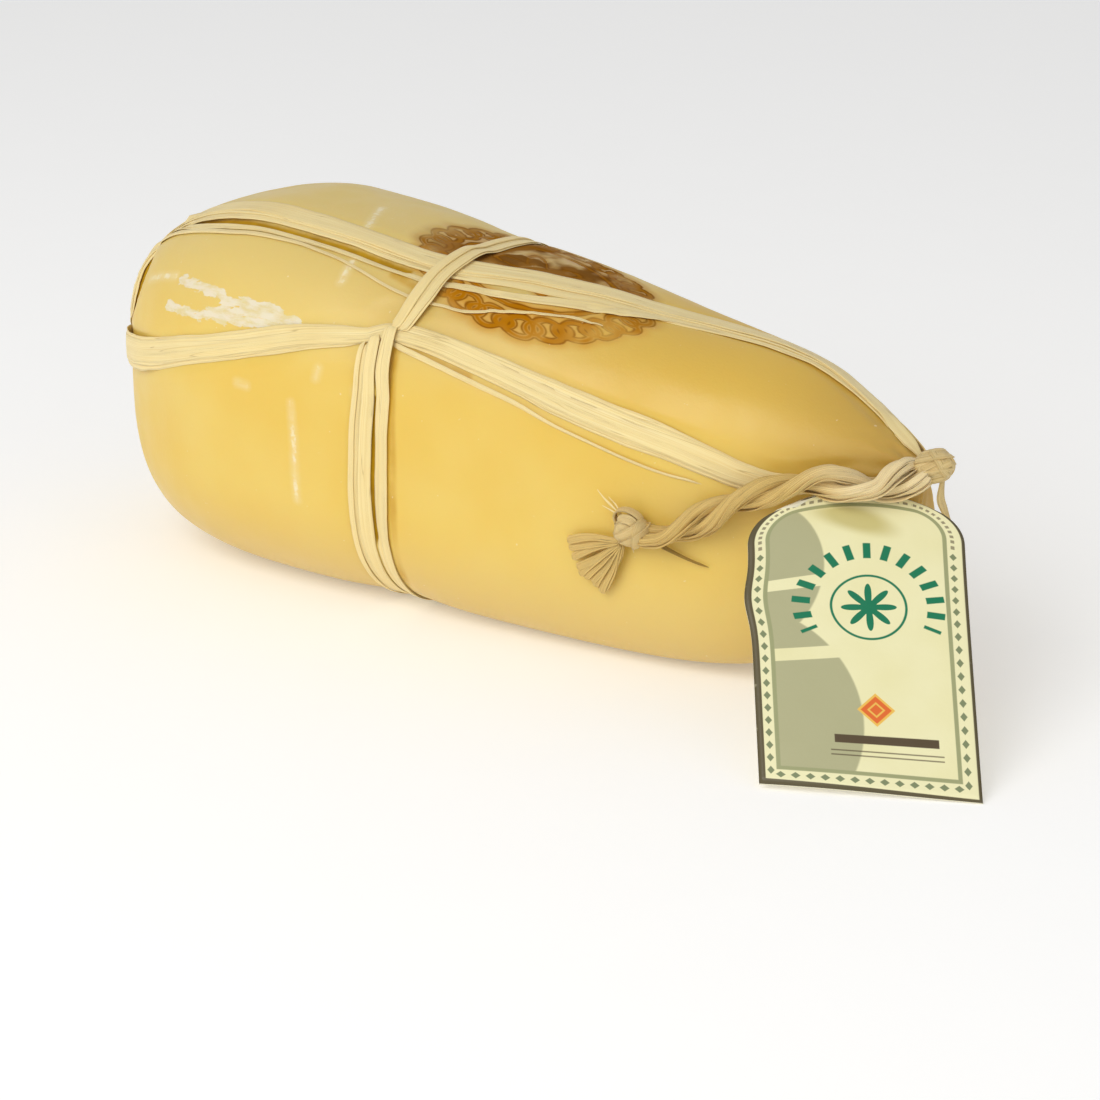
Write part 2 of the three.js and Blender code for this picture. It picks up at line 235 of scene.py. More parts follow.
# Cheese
# One lump of stretched curd, moulded to a pear by hand, salted and hung, so its waxy rind is uneven. It has
# settled flat where it lies, the raffia has pressed shallow grooves, and a hot iron has left a round mark.
LENGTH = 0.253
HALF_WIDTH = 0.0483
TOP_RISE = 0.0494
POLE_HEIGHT = 0.0593
AXIS_SAG = 0.0071
BELLY_SETTLE = 0.0015
FATTEST = 0.24
UNDERSIDE_MIDDLE = 0.45
BASE_END = {"reach": 1.61, "round": 2.23}
TIP_END = {"reach": 1.74, "round": 1.45}
UNDERSIDE_END = {"reach": 5.5, "round": 2.2}
SQUARE_TOP = 2.5
SQUARE_LOW = 3.13
GIRTH_X = -0.016
WAIST_SHARE = 0.025
WAIST_LENGTH = 0.015
GROOVE_DEPTH = 0.0018
GROOVE_FLAT = 0.0065
GROOVE_EDGE = 0.009
SHOULDER_STATION = 0.85
SHOULDER_LENGTH = 0.105
SHOULDER_ANGLE = math.radians(104)
SHOULDER_TURN = 0.6
SHOULDER_HEIGHTS = (0.03, 0.06)
OFF_FLOOR_HEIGHTS = (0.001, 0.012)
PRESS_EDGE = 0.0035
FINE_LUMP_SCALE = 110.0
FINE_LUMP_HEIGHT = 0.00016
PUCKER_STATIONS = (0.9, 0.975)
PUCKER_STRAY = 9
BURN_WALL = (0.0006, 0.0018)
CLEAR_OF_BANDS = (0.0055, 0.009)
GAP_WALL = (0.0008, 0.002)
SEAM_DISTANCE = 0.00002
RIND_GRID = 300
RIND_GRID_EASE = 0.07
MARK_STATION = 0.548
MARK_ANGLE = math.radians(81)
MARK_GIRTH_RADIUS = 0.050
MARK_STRETCH = 1.28
MARK_SLANT = 0.17
MARK_WOBBLE_SCALE = 130.0
MARK_WOBBLE_ALONG = 0.0022
MARK_WOBBLE_AROUND = 0.0018
MARK_CHAIN_RADIUS = 0.026
MARK_LINKS = 24
MARK_LINK_SIZES = ((0.0, 0.0033), (0.5, 0.0019))
MARK_RING_RADIUS = 0.0195
ROSETTE_RADIUS = 0.0085
ROSETTE_WAVE = 0.0035
ROSETTE_PETALS = 6
FULL_TURN = 2 * math.pi


def lower(first, second):
    return maths("MINIMUM", first, second)


def higher(first, second):
    return maths("MAXIMUM", first, second)


def fade(value, full_at, gone_at):
    """1 up to one value, then softly down to 0 at another."""
    return smooth(value, full_at, gone_at, 1.0, 0.0)


def bell(value, reach):
    """1 in the middle, falling away on both sides."""
    return maths("EXPONENT", (value / reach) ** 2 * -1)


def vector_of(x, y, z):
    tree = tree_of((x, y, z))
    node = tree.nodes.new("ShaderNodeCombineXYZ")
    for socket, value in zip(node.inputs, (x, y, z)):
        feed(tree, socket, value)
    return Field(tree, node.outputs[0])


def new_tree(name, inputs, outputs=(("Geometry", "Geometry"),)):
    """A geometry tree with named inputs, given back with a field for each input."""
    tree = bpy.data.node_groups.new(name, "GeometryNodeTree")
    for label, kind, start in inputs:
        socket = tree.interface.new_socket(label, in_out="INPUT", socket_type="NodeSocket" + kind)
        if start is not None:
            socket.default_value = start
    for label, kind in outputs:
        tree.interface.new_socket(label, in_out="OUTPUT", socket_type="NodeSocket" + kind)
    group_input = tree.nodes.new("NodeGroupInput")
    tree.nodes.new("NodeGroupOutput")
    return tree, {label: Field(tree, group_input.outputs[label]) for label, kind, start in inputs}


def give_back(tree, label, value):
    output = next(node for node in tree.nodes if node.bl_idname == "NodeGroupOutput")
    feed(tree, output.inputs[label], value)


def step(tree, kind, inputs, **settings):
    """Adds a node, sets its options and inputs, and gives back its first live output."""
    node = tree.nodes.new(kind)
    for option, value in settings.items():
        setattr(node, option, value)
    for label, value in inputs.items():
        socket = next(s for s in node.inputs if s.name == label and s.enabled)
        feed(tree, socket, value)
    return Field(tree, next(s for s in node.outputs if s.enabled))


def output_of(field, label):
    """Another output of the node that a field comes from."""
    return Field(field.tree, next(s for s in field.socket.node.outputs if s.name == label and s.enabled))


def vectors(tree, operation, first, second=None):
    node = tree.nodes.new("ShaderNodeVectorMath")
    node.operation = operation
    feed(tree, node.inputs[0], first)
    if operation == "SCALE":
        feed(tree, node.inputs["Scale"], second)
    elif second is not None:
        feed(tree, node.inputs[1], second)
    return Field(tree, next(s for s in node.outputs if s.enabled))


def use_tree(tree, part, inputs):
    """Runs a smaller tree inside another one and gives back its output."""
    node = tree.nodes.new("GeometryNodeGroup")
    node.node_tree = part
    for label, value in inputs.items():
        feed(tree, node.inputs[label], value)
    return Field(tree, node.outputs[0])


def named(tree, label, kind="FLOAT"):
    """A value that an earlier step has stored at every point."""
    return step(tree, "GeometryNodeInputNamedAttribute", {"Name": label}, data_type=kind)


def stored(tree, geometry, label, value, kind="FLOAT"):
    """Keeps a value at every point under a name, for later steps and for the finish."""
    return step(tree, "GeometryNodeStoreNamedAttribute",
                {"Geometry": geometry, "Name": label, "Value": value}, data_type=kind, domain="POINT")


def finish_tree(tree, geometry, material):
    """The last steps of a tree: smooth shading, real faces and one material."""
    geometry = step(tree, "GeometryNodeSetShadeSmooth", {"Geometry": geometry})
    geometry = step(tree, "GeometryNodeRealizeInstances", {"Geometry": geometry})
    geometry = step(tree, "GeometryNodeSetMaterial", {"Geometry": geometry, "Material": material})
    give_back(tree, "Geometry", geometry)


def end_share(station, middle, base_end, tip_end):
    """How full a section is: 1 at the fattest station, 0 at both ends."""
    to_base = higher((middle - station) / middle, 0)
    to_tip = higher((station - middle) / (1 - middle), 0)
    base_share = (1 - to_base ** base_end["reach"]) ** (1 / base_end["round"])
    tip_share = (1 - to_tip ** tip_end["reach"]) ** (1 / tip_end["round"])
    return lower(base_share, tip_share)


rind_point, rind_size = new_tree("rind_point", [
    ("Station", "Float", 0.0), ("Angle", "Float", 0.0), ("Length", "Float", LENGTH),
    ("Half Width", "Float", HALF_WIDTH), ("Top Rise", "Float", TOP_RISE),
    ("Pole Height", "Float", POLE_HEIGHT), ("Axis Sag", "Float", AXIS_SAG),
    ("Belly Settle", "Float", BELLY_SETTLE), ("Groove Depth", "Float", GROOVE_DEPTH),
], [("Point", "Vector")])
station = rind_size["Station"]
full = end_share(station, FATTEST, BASE_END, TIP_END)
under = end_share(station, UNDERSIDE_MIDDLE, UNDERSIDE_END, UNDERSIDE_END)
axis = rind_size["Pole Height"] - rind_size["Axis Sag"] * station * (1 - station) * 4
outward = maths("COSINE", rind_size["Angle"])
upward = maths("SINE", rind_size["Angle"])
above = maths("GREATER_THAN", upward, 0)
power = above * (SQUARE_TOP - SQUARE_LOW) + SQUARE_LOW
square = (abs(outward) ** power + abs(upward) ** power) ** (-1 / power)
low = (1 - above) * upward * upward
wide = rind_size["Half Width"] * (full + (under - full) * low)
tall = above * rind_size["Top Rise"] * full + (1 - above) * axis * under
along_axis = (station - 0.5) * rind_size["Length"]
from_girth = along_axis - GIRTH_X
waist = 1 - WAIST_SHARE * bell(from_girth, WAIST_LENGTH)
settle = rind_size["Belly Settle"]
settled = higher(axis + tall * upward * square * waist, settle) - settle
groove = rind_size["Groove Depth"] * fade(abs(from_girth), GROOVE_FLAT, GROOVE_EDGE)
height = higher(settled, groove * (1 - above))
give_back(rind_point, "Point", vector_of(along_axis, wide * outward * square * waist * -1, height))


def on_rind(tree, map_place):
    """The place on the rind for a map place, whose x is the station and y the angle."""
    map_station, map_angle, _ = parts_of(map_place)
    return use_tree(tree, rind_point, {"Station": map_station, "Angle": map_angle})


def iron_mark(mark_station, mark_angle):
    """Distance to the strokes of the burnt mark: a chain of rings round a plain ring and a rosette."""
    along_rind = (mark_station - MARK_STATION) * LENGTH
    across = along_rind / MARK_STRETCH
    around = (mark_angle - MARK_ANGLE) * MARK_GIRTH_RADIUS + along_rind * MARK_SLANT
    wobble = noise(vector_of(across, around, 0.0), MARK_WOBBLE_SCALE, 1.0) - 0.5
    across = across + wobble * MARK_WOBBLE_ALONG
    around = around - wobble * MARK_WOBBLE_AROUND
    reach = (across ** 2 + around ** 2) ** 0.5
    turn = maths("ARCTAN2", around, across)
    rosette = ROSETTE_RADIUS + ROSETTE_WAVE * maths("COSINE", turn * ROSETTE_PETALS)
    nearest = lower(abs(reach - MARK_RING_RADIUS), abs(reach - rosette))
    for shift, link_radius in MARK_LINK_SIZES:
        beside = maths("WRAP", turn * (MARK_LINKS / FULL_TURN) + shift, 0.5, -0.5)
        beside = beside * (FULL_TURN / MARK_LINKS * MARK_CHAIN_RADIUS)
        from_link = (beside ** 2 + (reach - MARK_CHAIN_RADIUS) ** 2) ** 0.5
        nearest = lower(nearest, abs(from_link - link_radius))
    return nearest, reach


SPAN_STEPS = 24
ROUTE_POINTS = 240


def smooth_line(points, count):
    """Evenly spaced places on a smooth curve through given points."""
    points = np.asarray(points, float)
    ends = np.vstack([2 * points[0] - points[1], points, 2 * points[-1] - points[-2]])
    shares = np.linspace(0, 1, SPAN_STEPS, endpoint=False)[:, None]
    fine = []
    for before, start, end, after in zip(ends, ends[1:], ends[2:], ends[3:]):
        gap_before = np.linalg.norm(start - before) ** 0.5
        gap = np.linalg.norm(end - start) ** 0.5
        gap_after = np.linalg.norm(after - end) ** 0.5
        chord = (end - start) / gap
        leave = ((start - before) / gap_before - (end - before) / (gap_before + gap) + chord) * gap
        arrive = (chord - (after - start) / (gap + gap_after) + (after - end) / gap_after) * gap
        bend = 2 * (start - end) + leave + arrive
        turn = 3 * (end - start) - 2 * leave - arrive
        fine.append(start + shares * (leave + shares * (turn + shares * bend)))
    fine = np.vstack(fine + [points[-1:]])
    run = np.append(0, np.cumsum(np.linalg.norm(np.diff(fine, axis=0), axis=1)))
    stops = np.linspace(0, run[-1], count)
    return np.stack([np.interp(stops, run, fine[:, i]) for i in range(fine.shape[1])], axis=1)


def map_route(points, count=ROUTE_POINTS):
    """Stations and angles along a route over the rind, drawn on a flat map round the base pole."""
    stations = np.array([point[0] for point in points])
    angles = np.radians([point[1] for point in points])
    ways = np.stack([np.cos(angles), np.sin(angles)], axis=1)
    flat = smooth_line(np.sqrt(stations)[:, None] * ways, count)
    return np.sum(flat ** 2, axis=1), np.unwrap(np.arctan2(flat[:, 1], flat[:, 0]))


TOP_BAND_ROUTE = map_route([
    (0.99, 95), (0.93, 104), (0.87, 106.5), (0.834, 104.5), (0.8, 101.5), (0.77, 98), (0.74, 94.5),
    (0.708, 90.5), (0.674, 86.5), (0.635, 83), (0.595, 78), (0.554, 74), (0.514, 70), (0.47, 67.4),
    (0.4, 66.8), (0.3, 67.4), (0.2, 67.4), (0.11, 67), (0.05, 67), (0.02, 75), (0.004, 130), (0.02, 190),
    (0.05, 204), (0.15, 206), (0.3, 203), (0.45, 200), (0.65, 197), (0.8, 193), (0.9, 190), (0.98, 182),
    (0.9985, 165)])
FRONT_BAND_ROUTE = map_route([
    (0.962, 0), (0.88, -1), (0.845, 3.2), (0.813, 9.6), (0.772, 16.2), (0.72, 21.7), (0.645, 28),
    (0.6, 31.4), (0.55, 34.4), (0.5, 36.7), (0.45, 37), (0.42, 33.6), (0.35, 28), (0.27, 20.7),
    (0.19, 14), (0.12, 7), (0.05, 0), (0.014, -5), (0.0003, -90), (0.014, 184), (0.05, 174),
    (0.15, 163), (0.3, 156), (0.45, 151), (0.65, 149), (0.8, 147), (0.9, 144), (0.98, 139),
    (0.9985, 135)])
girth_line = smooth_line([
    (41, -15.5), (15, -15), (0, -15.7), (-35, -16.4), (-60, -15.5), (-90, -16), (-180, -14),
    (-225, -12), (-243, -9.6), (-255, -8.2), (-272, -7.8), (-288, -7.5), (-300, -7.9), (-308, -7.9),
    (-313, -8.4), (-319, -9.7), (-322, -10.8)], ROUTE_POINTS)
GIRTH_ROUTE = (girth_line[:, 1] * 0.001 / LENGTH + 0.5, np.radians(girth_line[:, 0]))


def line_mesh(name, lines, **values):
    """Open lines of points, with a named number or vector at every point."""
    mesh = bpy.data.meshes.new(name)
    points = np.vstack(lines)
    edges = []
    first = 0
    for line in lines:
        edges += [(first + i, first + i + 1) for i in range(len(line) - 1)]
        first += len(line)
    mesh.from_pydata([tuple(point) for point in points], edges, [])
    for label, numbers in values.items():
        numbers = np.asarray(numbers, np.float32)
        if numbers.ndim == 1:
            mesh.attributes.new(label, "FLOAT", "POINT").data.foreach_set("value", numbers)
        else:
            mesh.attributes.new(label, "FLOAT_VECTOR", "POINT").data.foreach_set("vector", numbers.ravel())
    return mesh


def map_line(route):
    return np.stack([route[0], route[1], np.zeros(len(route[0]))], axis=1)


def made_by(tree, name, mesh, **values):
    """Runs a tree on a starting mesh and gives back a plain mesh object."""
    piece = bpy.data.objects.new(name, mesh)
    bpy.context.scene.collection.objects.link(piece)
    modifier = piece.modifiers.new("making", "NODES")
    modifier.node_group = tree
    for item in tree.interface.items_tree:
        label = item.name.lower().replace(" ", "_")
        if item.in_out == "INPUT" and label in values:
            modifier[item.identifier] = values[label]
    evaluated = piece.evaluated_get(bpy.context.evaluated_depsgraph_get())
    made = bpy.data.meshes.new_from_object(evaluated)
    piece.modifiers.remove(modifier)
    piece.data = made
    bpy.data.meshes.remove(mesh)
    made.name = name
    return piece


def attribute(tree, label):
    node = tree.nodes.new("ShaderNodeAttribute")
    node.attribute_name = label
    return Field(tree, node.outputs["Fac"])


def colour(red, green, blue):
    """A colour as it looks on screen, from 0 to 255, as the light values that shaders use."""
    channels = [value / 255 for value in (red, green, blue)]
    light = [c / 12.92 if c <= 0.04045 else ((c + 0.055) / 1.055) ** 2.4 for c in channels]
    return (*light, 1.0)


def bump(tree, shader, height, distance, strength=1.0):
    node = tree.nodes.new("ShaderNodeBump")
    node.inputs["Strength"].default_value = strength
    node.inputs["Distance"].default_value = distance
    feed(tree, node.inputs["Height"], height)
    tree.links.new(node.outputs[0], shader.inputs["Normal"])


RIND_GOLD = colour(229, 192, 82)
RIND_CLOUD = colour(231, 200, 101)
RIND_BELLY = colour(220, 190, 114)
BELLY_HEIGHTS = (0.034, 0.004)
RIND_CROWN = colour(224, 197, 116)
CROWN_HEIGHTS = (0.062, 0.098)
RIND_SHOULDER = colour(219, 178, 68)
SHOULDER_TONE_ALONG = (0.01, 0.06)
SHOULDER_TONE_HEIGHTS = (0.055, 0.078)
# Painted shade: the rind darker and browner towards the tip end, which is turned from the lamps.
RIND_TIP_SHADE = colour(187, 149, 70)
TIP_SHADE_ALONG = (0.075, 0.125)
# Painted shade: a broad darker patch where the rind faces up above the front band, right of the girth.
RIND_SHADE = colour(202, 168, 96)
RIND_SHADE_STATION = 0.52
RIND_SHADE_LENGTH = 0.13
RIND_SHADE_ANGLE = 0.85
RIND_SHADE_TURN = 0.32
# Painted shade: a dark gold line on the rind along band and strand edges, where they shade it.
CREVICE_SHADE = colour(198, 148, 22)
CREVICE_SHADE_REACH = (0.0004, 0.002)
# Painted shade: dark gold in the sunk gaps beside the strands and in the girth's slit.
GAP_SHADE_TONES = (colour(168, 122, 0), colour(190, 144, 14))
GAP_SHADE_REACH = (0.0006, 0.002)
GAP_EDGE_WANDER = 0.0006
IRONED_HEIGHTS = (0.03, 0.05)
SMOKED_ANGLES = (1.1, 1.4)
SMOKED_REACH = (0.02, 0.034)
SMOKED_TONE = colour(176, 136, 76)
HALO_TONES = (colour(206, 142, 8), colour(186, 138, 54))
HALO_REACH = (0.0006, 0.0045)
CORE_TONES = (colour(174, 108, 0), colour(154, 100, 20))
CORE_REACH = (0.0007, 0.0015)
RIM_TONES = (colour(126, 72, 0), colour(116, 70, 10))
RIM_DISTANCE = 0.0009
RIM_HALF_WIDTH = 0.0005
SCORCH_TONES = (colour(132, 80, 18), colour(104, 55, 4))
SCORCH_REACH = (0.02, 0.032)
PATCH_STATION = 0.512
PATCH_LENGTH = 0.032
PATCH_ANGLE = 1.45
PATCH_TURN = 0.13
PATCH_SLANT = 2
FLAKE_TONES = (colour(230, 221, 198), colour(222, 206, 154))
FLAKE_REACH = (0.0012, 0.0016)
FLAKE_TEAR = 0.0052
FLAKE_COMBING = (0.32, 1.0, 1.0)
# Pale streaks: partly rubbed wax, partly painted highlights on the glossy rind.
SCUFF_AND_HIGHLIGHT_WHITE = colour(240, 230, 196)
STREAK_REACH = (0.0003, 0.0012)
STREAK_BLOOM = (0.0, 0.0024)


def rind_colour_and_shade(tree, place, station, angle):
    """The curd's yellow, clouded and paler below and on top, with painted shade: darker and browner at the
    tip, a darker patch above the front band, and dark gold along strand edges and in gaps.
    """
    x, _, z = parts_of(place)
    clouds = smooth(noise(place, 22.0, 3.0), 0.3, 0.7)
    body = mix_colours(clouds, RIND_GOLD, RIND_CLOUD)
    body = mix_colours(smooth(z, *BELLY_HEIGHTS), body, RIND_BELLY)
    body = mix_colours(smooth(z, *CROWN_HEIGHTS), body, RIND_CROWN)
    shoulder = smooth(x, *SHOULDER_TONE_ALONG) * smooth(z, *SHOULDER_TONE_HEIGHTS)
    body = mix_colours(shoulder * 0.8, body, RIND_SHOULDER)
    # Painted shade: darker towards the tip.
    body = mix_colours(smooth(x, *TIP_SHADE_ALONG) * 0.8, body, RIND_TIP_SHADE)
    # Painted shade: a broad darker patch above the front band.
    rind_shade = bell(station - RIND_SHADE_STATION, RIND_SHADE_LENGTH) * bell(angle - RIND_SHADE_ANGLE, RIND_SHADE_TURN)
    body = mix_colours(rind_shade * 0.45, body, RIND_SHADE)
    # Painted shade along the edges of the bands and strands, broken up by noise.
    crevice_shade_break = smooth(noise(place, 110.0, 2.0), 0.32, 0.58, 0.4, 1.0)
    crevice_shade = fade(attribute(tree, "crevice"), *CREVICE_SHADE_REACH) * crevice_shade_break
    body = mix_colours(crevice_shade * 0.7, body, CREVICE_SHADE)
    # Painted shade in the gaps: the hollow beside the base-corner strand, the gap under the top band and the
    # girth's slit.
    gap_edge = (noise(place, 300.0, 2.0) - 0.5) * GAP_EDGE_WANDER
    gap = fade(attribute(tree, "gap") + gap_edge, *GAP_SHADE_REACH)
    gap_shade_tone = mix_colours(smooth(noise(place, 160.0, 3.0), 0.35, 0.65), *GAP_SHADE_TONES)
    return mix_colours(gap * 0.9, body, gap_shade_tone), gap


def burnt_rind(place, station, angle, body):
    """The iron's mark: clear brown strokes in front, smoked and scorched over the top of the cheese."""
    stroke, reach = iron_mark(station, angle)
    _, _, z = parts_of(place)
    ironed = smooth(z, *IRONED_HEIGHTS)
    behind = smooth(angle, *SMOKED_ANGLES) * ironed
    heat = smooth(noise(place, 75.0, 2.0), 0.3, 0.62, 0.35, 1.0) * ironed
    blots = smooth(noise(place, 130.0, 3.0), 0.42, 0.6)
    halo = fade(stroke, *HALO_REACH) * heat
    core = fade(stroke + blots * 0.0006, *CORE_REACH) * heat
    rim = fade(abs(stroke - RIM_DISTANCE), 0.0, RIM_HALF_WIDTH) * heat
    scorch = smooth(noise(place, 60.0, 3.0), 0.47, 0.58) * fade(reach, *SCORCH_REACH) * behind
    patch_along = station - PATCH_STATION
    patch_around = angle - PATCH_ANGLE - patch_along * PATCH_SLANT
    patch = bell(patch_along, PATCH_LENGTH) * bell(patch_around, PATCH_TURN)
    scorch = higher(scorch, smooth(patch + blots * 0.25, 0.35, 0.65))
    body = mix_colours(behind * fade(reach, *SMOKED_REACH) * 0.55, body, SMOKED_TONE)
    for share, which, tones in ((halo * 0.75, behind, HALO_TONES), (scorch * 0.85, blots, SCORCH_TONES),
                                (core * 0.9, behind, CORE_TONES), (rim * 0.8, behind, RIM_TONES)):
        body = mix_colours(share, body, mix_colours(which, *tones))
    return body, higher(higher(core, rim), scorch)


def scuffed_and_highlit_rind(tree, place, body):
    """White flakes with torn edges, where the wax has been rubbed, pale streaks that are partly rubbed wax
    and partly painted highlights with a soft glow, and a few pale specks.
    """
    combed = vectors(tree, "MULTIPLY", place, FLAKE_COMBING)
    tear = (noise(combed, 620.0, 4.0, 0.65) - 0.5) * FLAKE_TEAR
    flake = fade(attribute(tree, "flake") + tear, *FLAKE_REACH)
    # Painted highlights and scuffs: the pale streaks, with a soft glow round them.
    streak_break = smooth(noise(place, 330.0, 3.0, 0.6), 0.42, 0.62)
    streak_edge = attribute(tree, "streak") + tear * 0.25
    streak = fade(streak_edge, *STREAK_REACH) * (streak_break * 0.5 + 0.3)
    streak = higher(streak, fade(streak_edge, *STREAK_BLOOM) * 0.25)
    speck = smooth(noise(place, 750.0, 1.0), 0.77, 0.82)
    body = mix_colours(higher(streak, speck * 0.4), body, SCUFF_AND_HIGHLIGHT_WHITE)
    flake_tone = mix_colours(smooth(noise(combed, 520.0, 4.0, 0.65), 0.4, 0.66), *FLAKE_TONES)
    return mix_colours(flake * 0.9, body, flake_tone), flake


def wax_finish():
    """Waxy rind, satin and a little translucent, but matt where it is burnt or shaded by a strand."""
    material, tree, shader = new_finish("waxy_rind")
    place = object_place(tree)
    rind_station = attribute(tree, "station")
    rind_angle = attribute(tree, "angle")
    body, gap = rind_colour_and_shade(tree, place, rind_station, rind_angle)
    body, burnt = burnt_rind(place, rind_station, rind_angle, body)
    body, flake = scuffed_and_highlit_rind(tree, place, body)
    feed(tree, shader.inputs["Base Color"], body)
    gloss = smooth(noise(place, 60.0), 0.3, 0.7, 0.34, 0.48)
    matt = higher(burnt, gap)
    feed(tree, shader.inputs["Roughness"], gloss + flake * 0.25 + matt * 0.3)
    feed(tree, shader.inputs["Specular IOR Level"], 0.5 - matt * 0.5)
    feed(tree, shader.inputs["Subsurface Weight"], 0.25 - matt * 0.25)
    shader.inputs["Subsurface Radius"].default_value = (1.0, 0.6, 0.2)
    shader.inputs["Subsurface Scale"].default_value = 0.004
    bump(tree, shader, noise(place, 900.0, 2.0) + flake * 0.5, 0.00005)
    return material


rind_form, form_input = new_tree("rind_form", [
    ("Map", "Geometry", None), ("Bindings", "Object", None), ("Flakes", "Object", None),
    ("Streaks", "Object", None), ("Crevices", "Object", None), ("Gaps", "Object", None),
    ("Lump Height", "Float", 0.0006), ("Lump Size", "Float", 0.05), ("Press Depth", "Float", 0.0005),
    ("Press Width", "Float", 0.0035), ("Pucker Height", "Float", 0.00022), ("Puckers", "Float", 11.0),
    ("Burn Depth", "Float", 0.0004), ("Shoulder Height", "Float", 0.0033), ("Gap Depth", "Float", 0.0009),
    ("Material", "Material", None)])
map_place = step(rind_form, "GeometryNodeInputPosition", {})
flat_station, flat_angle, _ = parts_of(map_place)
rind_map = stored(rind_form, form_input["Map"], "station", flat_station)
rind_map = stored(rind_form, rind_map, "angle", flat_angle)
rind_map = step(rind_form, "GeometryNodeSetPosition",
                {"Geometry": rind_map, "Position": on_rind(rind_form, map_place)})
rind_map = step(rind_form, "GeometryNodeMergeByDistance", {"Geometry": rind_map, "Distance": SEAM_DISTANCE})


def distance_to(lines):
    """How far each point of the rind is from lines that are drawn on its map."""
    drawn = output_of(step(rind_form, "GeometryNodeObjectInfo", {"Object": lines}), "Geometry")
    drawn = step(rind_form, "GeometryNodeSetPosition",
                 {"Geometry": drawn, "Position": on_rind(rind_form, map_place)})
    near = step(rind_form, "GeometryNodeProximity", {"Geometry": drawn}, target_element="EDGES")
    return output_of(near, "Distance")


for label, lines in (("flake", "Flakes"), ("streak", "Streaks"), ("crevice", "Crevices"), ("gap", "Gaps")):
    rind_map = stored(rind_form, rind_map, label, distance_to(form_input[lines]))
away = distance_to(form_input["Bindings"])
press_width = form_input["Press Width"]
press = fade(away, press_width, press_width + PRESS_EDGE) * form_input["Press Depth"]
solid_place = step(rind_form, "GeometryNodeInputPosition", {})
_, _, solid_height = parts_of(solid_place)
lumps = (noise(solid_place, 1 / form_input["Lump Size"], 3.0, 0.45) - 0.5) * form_input["Lump Height"] * 2
fine_lumps = noise(solid_place, FINE_LUMP_SCALE, 1.0) - 0.5
named_station = named(rind_form, "station")
named_angle = named(rind_form, "angle")
pucker_turn = named_angle * form_input["Puckers"] + fine_lumps * PUCKER_STRAY
pucker = maths("SINE", pucker_turn) * smooth(named_station, *PUCKER_STATIONS) * form_input["Pucker Height"]
burnt, _ = iron_mark(named_station, named_angle)
sunk = fade(burnt, *BURN_WALL) * smooth(away, *CLEAR_OF_BANDS) * form_input["Burn Depth"]
hollow = fade(named(rind_form, "gap"), *GAP_WALL) * form_input["Gap Depth"]
relief = lumps + fine_lumps * FINE_LUMP_HEIGHT + pucker - press - sunk - hollow
shoulder = bell(named_station - SHOULDER_STATION, SHOULDER_LENGTH)
shoulder = shoulder * bell(named_angle - SHOULDER_ANGLE, SHOULDER_TURN)
shoulder = shoulder * smooth(solid_height, *SHOULDER_HEIGHTS) * form_input["Shoulder Height"]
swell = relief * smooth(solid_height, *OFF_FLOOR_HEIGHTS) + shoulder
rind_normal = step(rind_form, "GeometryNodeInputNormal", {})
rind_map = step(rind_form, "GeometryNodeSetPosition",
                {"Geometry": rind_map, "Offset": vectors(rind_form, "SCALE", rind_normal, swell)})
finish_tree(rind_form, rind_map, form_input["Material"])


def grid_faces(rows, columns):
    """The four corners of every face of a grid of points."""
    corner = (np.arange(rows - 1)[:, None] * columns + np.arange(columns - 1)[None, :]).ravel()
    return np.stack([corner, corner + columns, corner + columns + 1, corner + 1], axis=1).tolist()


def flat_map(name, rows, columns):
    """The rind's map as a flat grid, finer towards both ends and closed later by merging its edges."""
    share = np.linspace(0, 1, rows)
    stations = share - RIND_GRID_EASE * np.sin(FULL_TURN * share)
    angles = np.linspace(-0.5 * np.pi, 1.5 * np.pi, columns)
    across, around = np.meshgrid(stations, angles, indexing="ij")
    points = np.stack([across.ravel(), around.ravel(), np.zeros(rows * columns)], axis=1)
    mesh = bpy.data.meshes.new(name)
    mesh.from_pydata(points.tolist(), [], grid_faces(rows, columns))
    return mesh


def drawn_lines(name, lines):
    """Lines of map places as an object that the rind's tree can measure from."""
    drawn = bpy.data.objects.new(name, line_mesh(name, lines))
    bpy.context.scene.collection.objects.link(drawn)
    return drawn


def map_points(*points):
    return np.array([(station, math.radians(angle), 0.0) for station, angle in points])


FLAKE_LINES = [
    map_points((0.167, 36), (0.194, 34.8), (0.214, 34), (0.236, 34.5), (0.243, 31.5)),
    map_points((0.243, 31.5), (0.266, 33.2), (0.296, 33.6), (0.317, 33.2)),
    map_points((0.22, 27.5), (0.246, 29), (0.268, 30.8), (0.314, 31.5)),
    map_points((0.236, 26.6), (0.257, 27.4), (0.287, 28.9), (0.315, 30.5), (0.341, 32.5)),
    map_points((0.154, 26.5), (0.186, 26), (0.206, 26.2), (0.227, 26.8))]
# Lines of the pale streaks, partly scuffs and partly painted highlights.
STREAK_LINES = [
    map_points((0.097, 34.8), (0.123, 36), (0.154, 36.5)),
    map_points((0.321, 89.8), (0.333, 81.8), (0.345, 73.5)),
    map_points((0.3695, 55.5), (0.371, 52), (0.372, 47.5)),
    map_points((0.344, 7.2), (0.347, -4.5), (0.347, -22)),
    map_points((0.376, 20), (0.3735, 17)),
    map_points((0.272, 9.2), (0.286, 9)),
    map_points((0.421, 16), (0.424, 12))]
# Lines along band and strand edges where painted shade darkens the rind.
CREVICE_LINES = [
    map_points((0.42, 56), (0.455, 54), (0.52, 55)),
    map_points((0.46, 45), (0.455, 52)),
    map_points((0.4605, 32), (0.4655, 15), (0.467, -5), (0.4665, -20), (0.464, -42), (0.461, -70)),
    map_points((0.468, 33.2), (0.5, 31.5), (0.55, 28.4))]
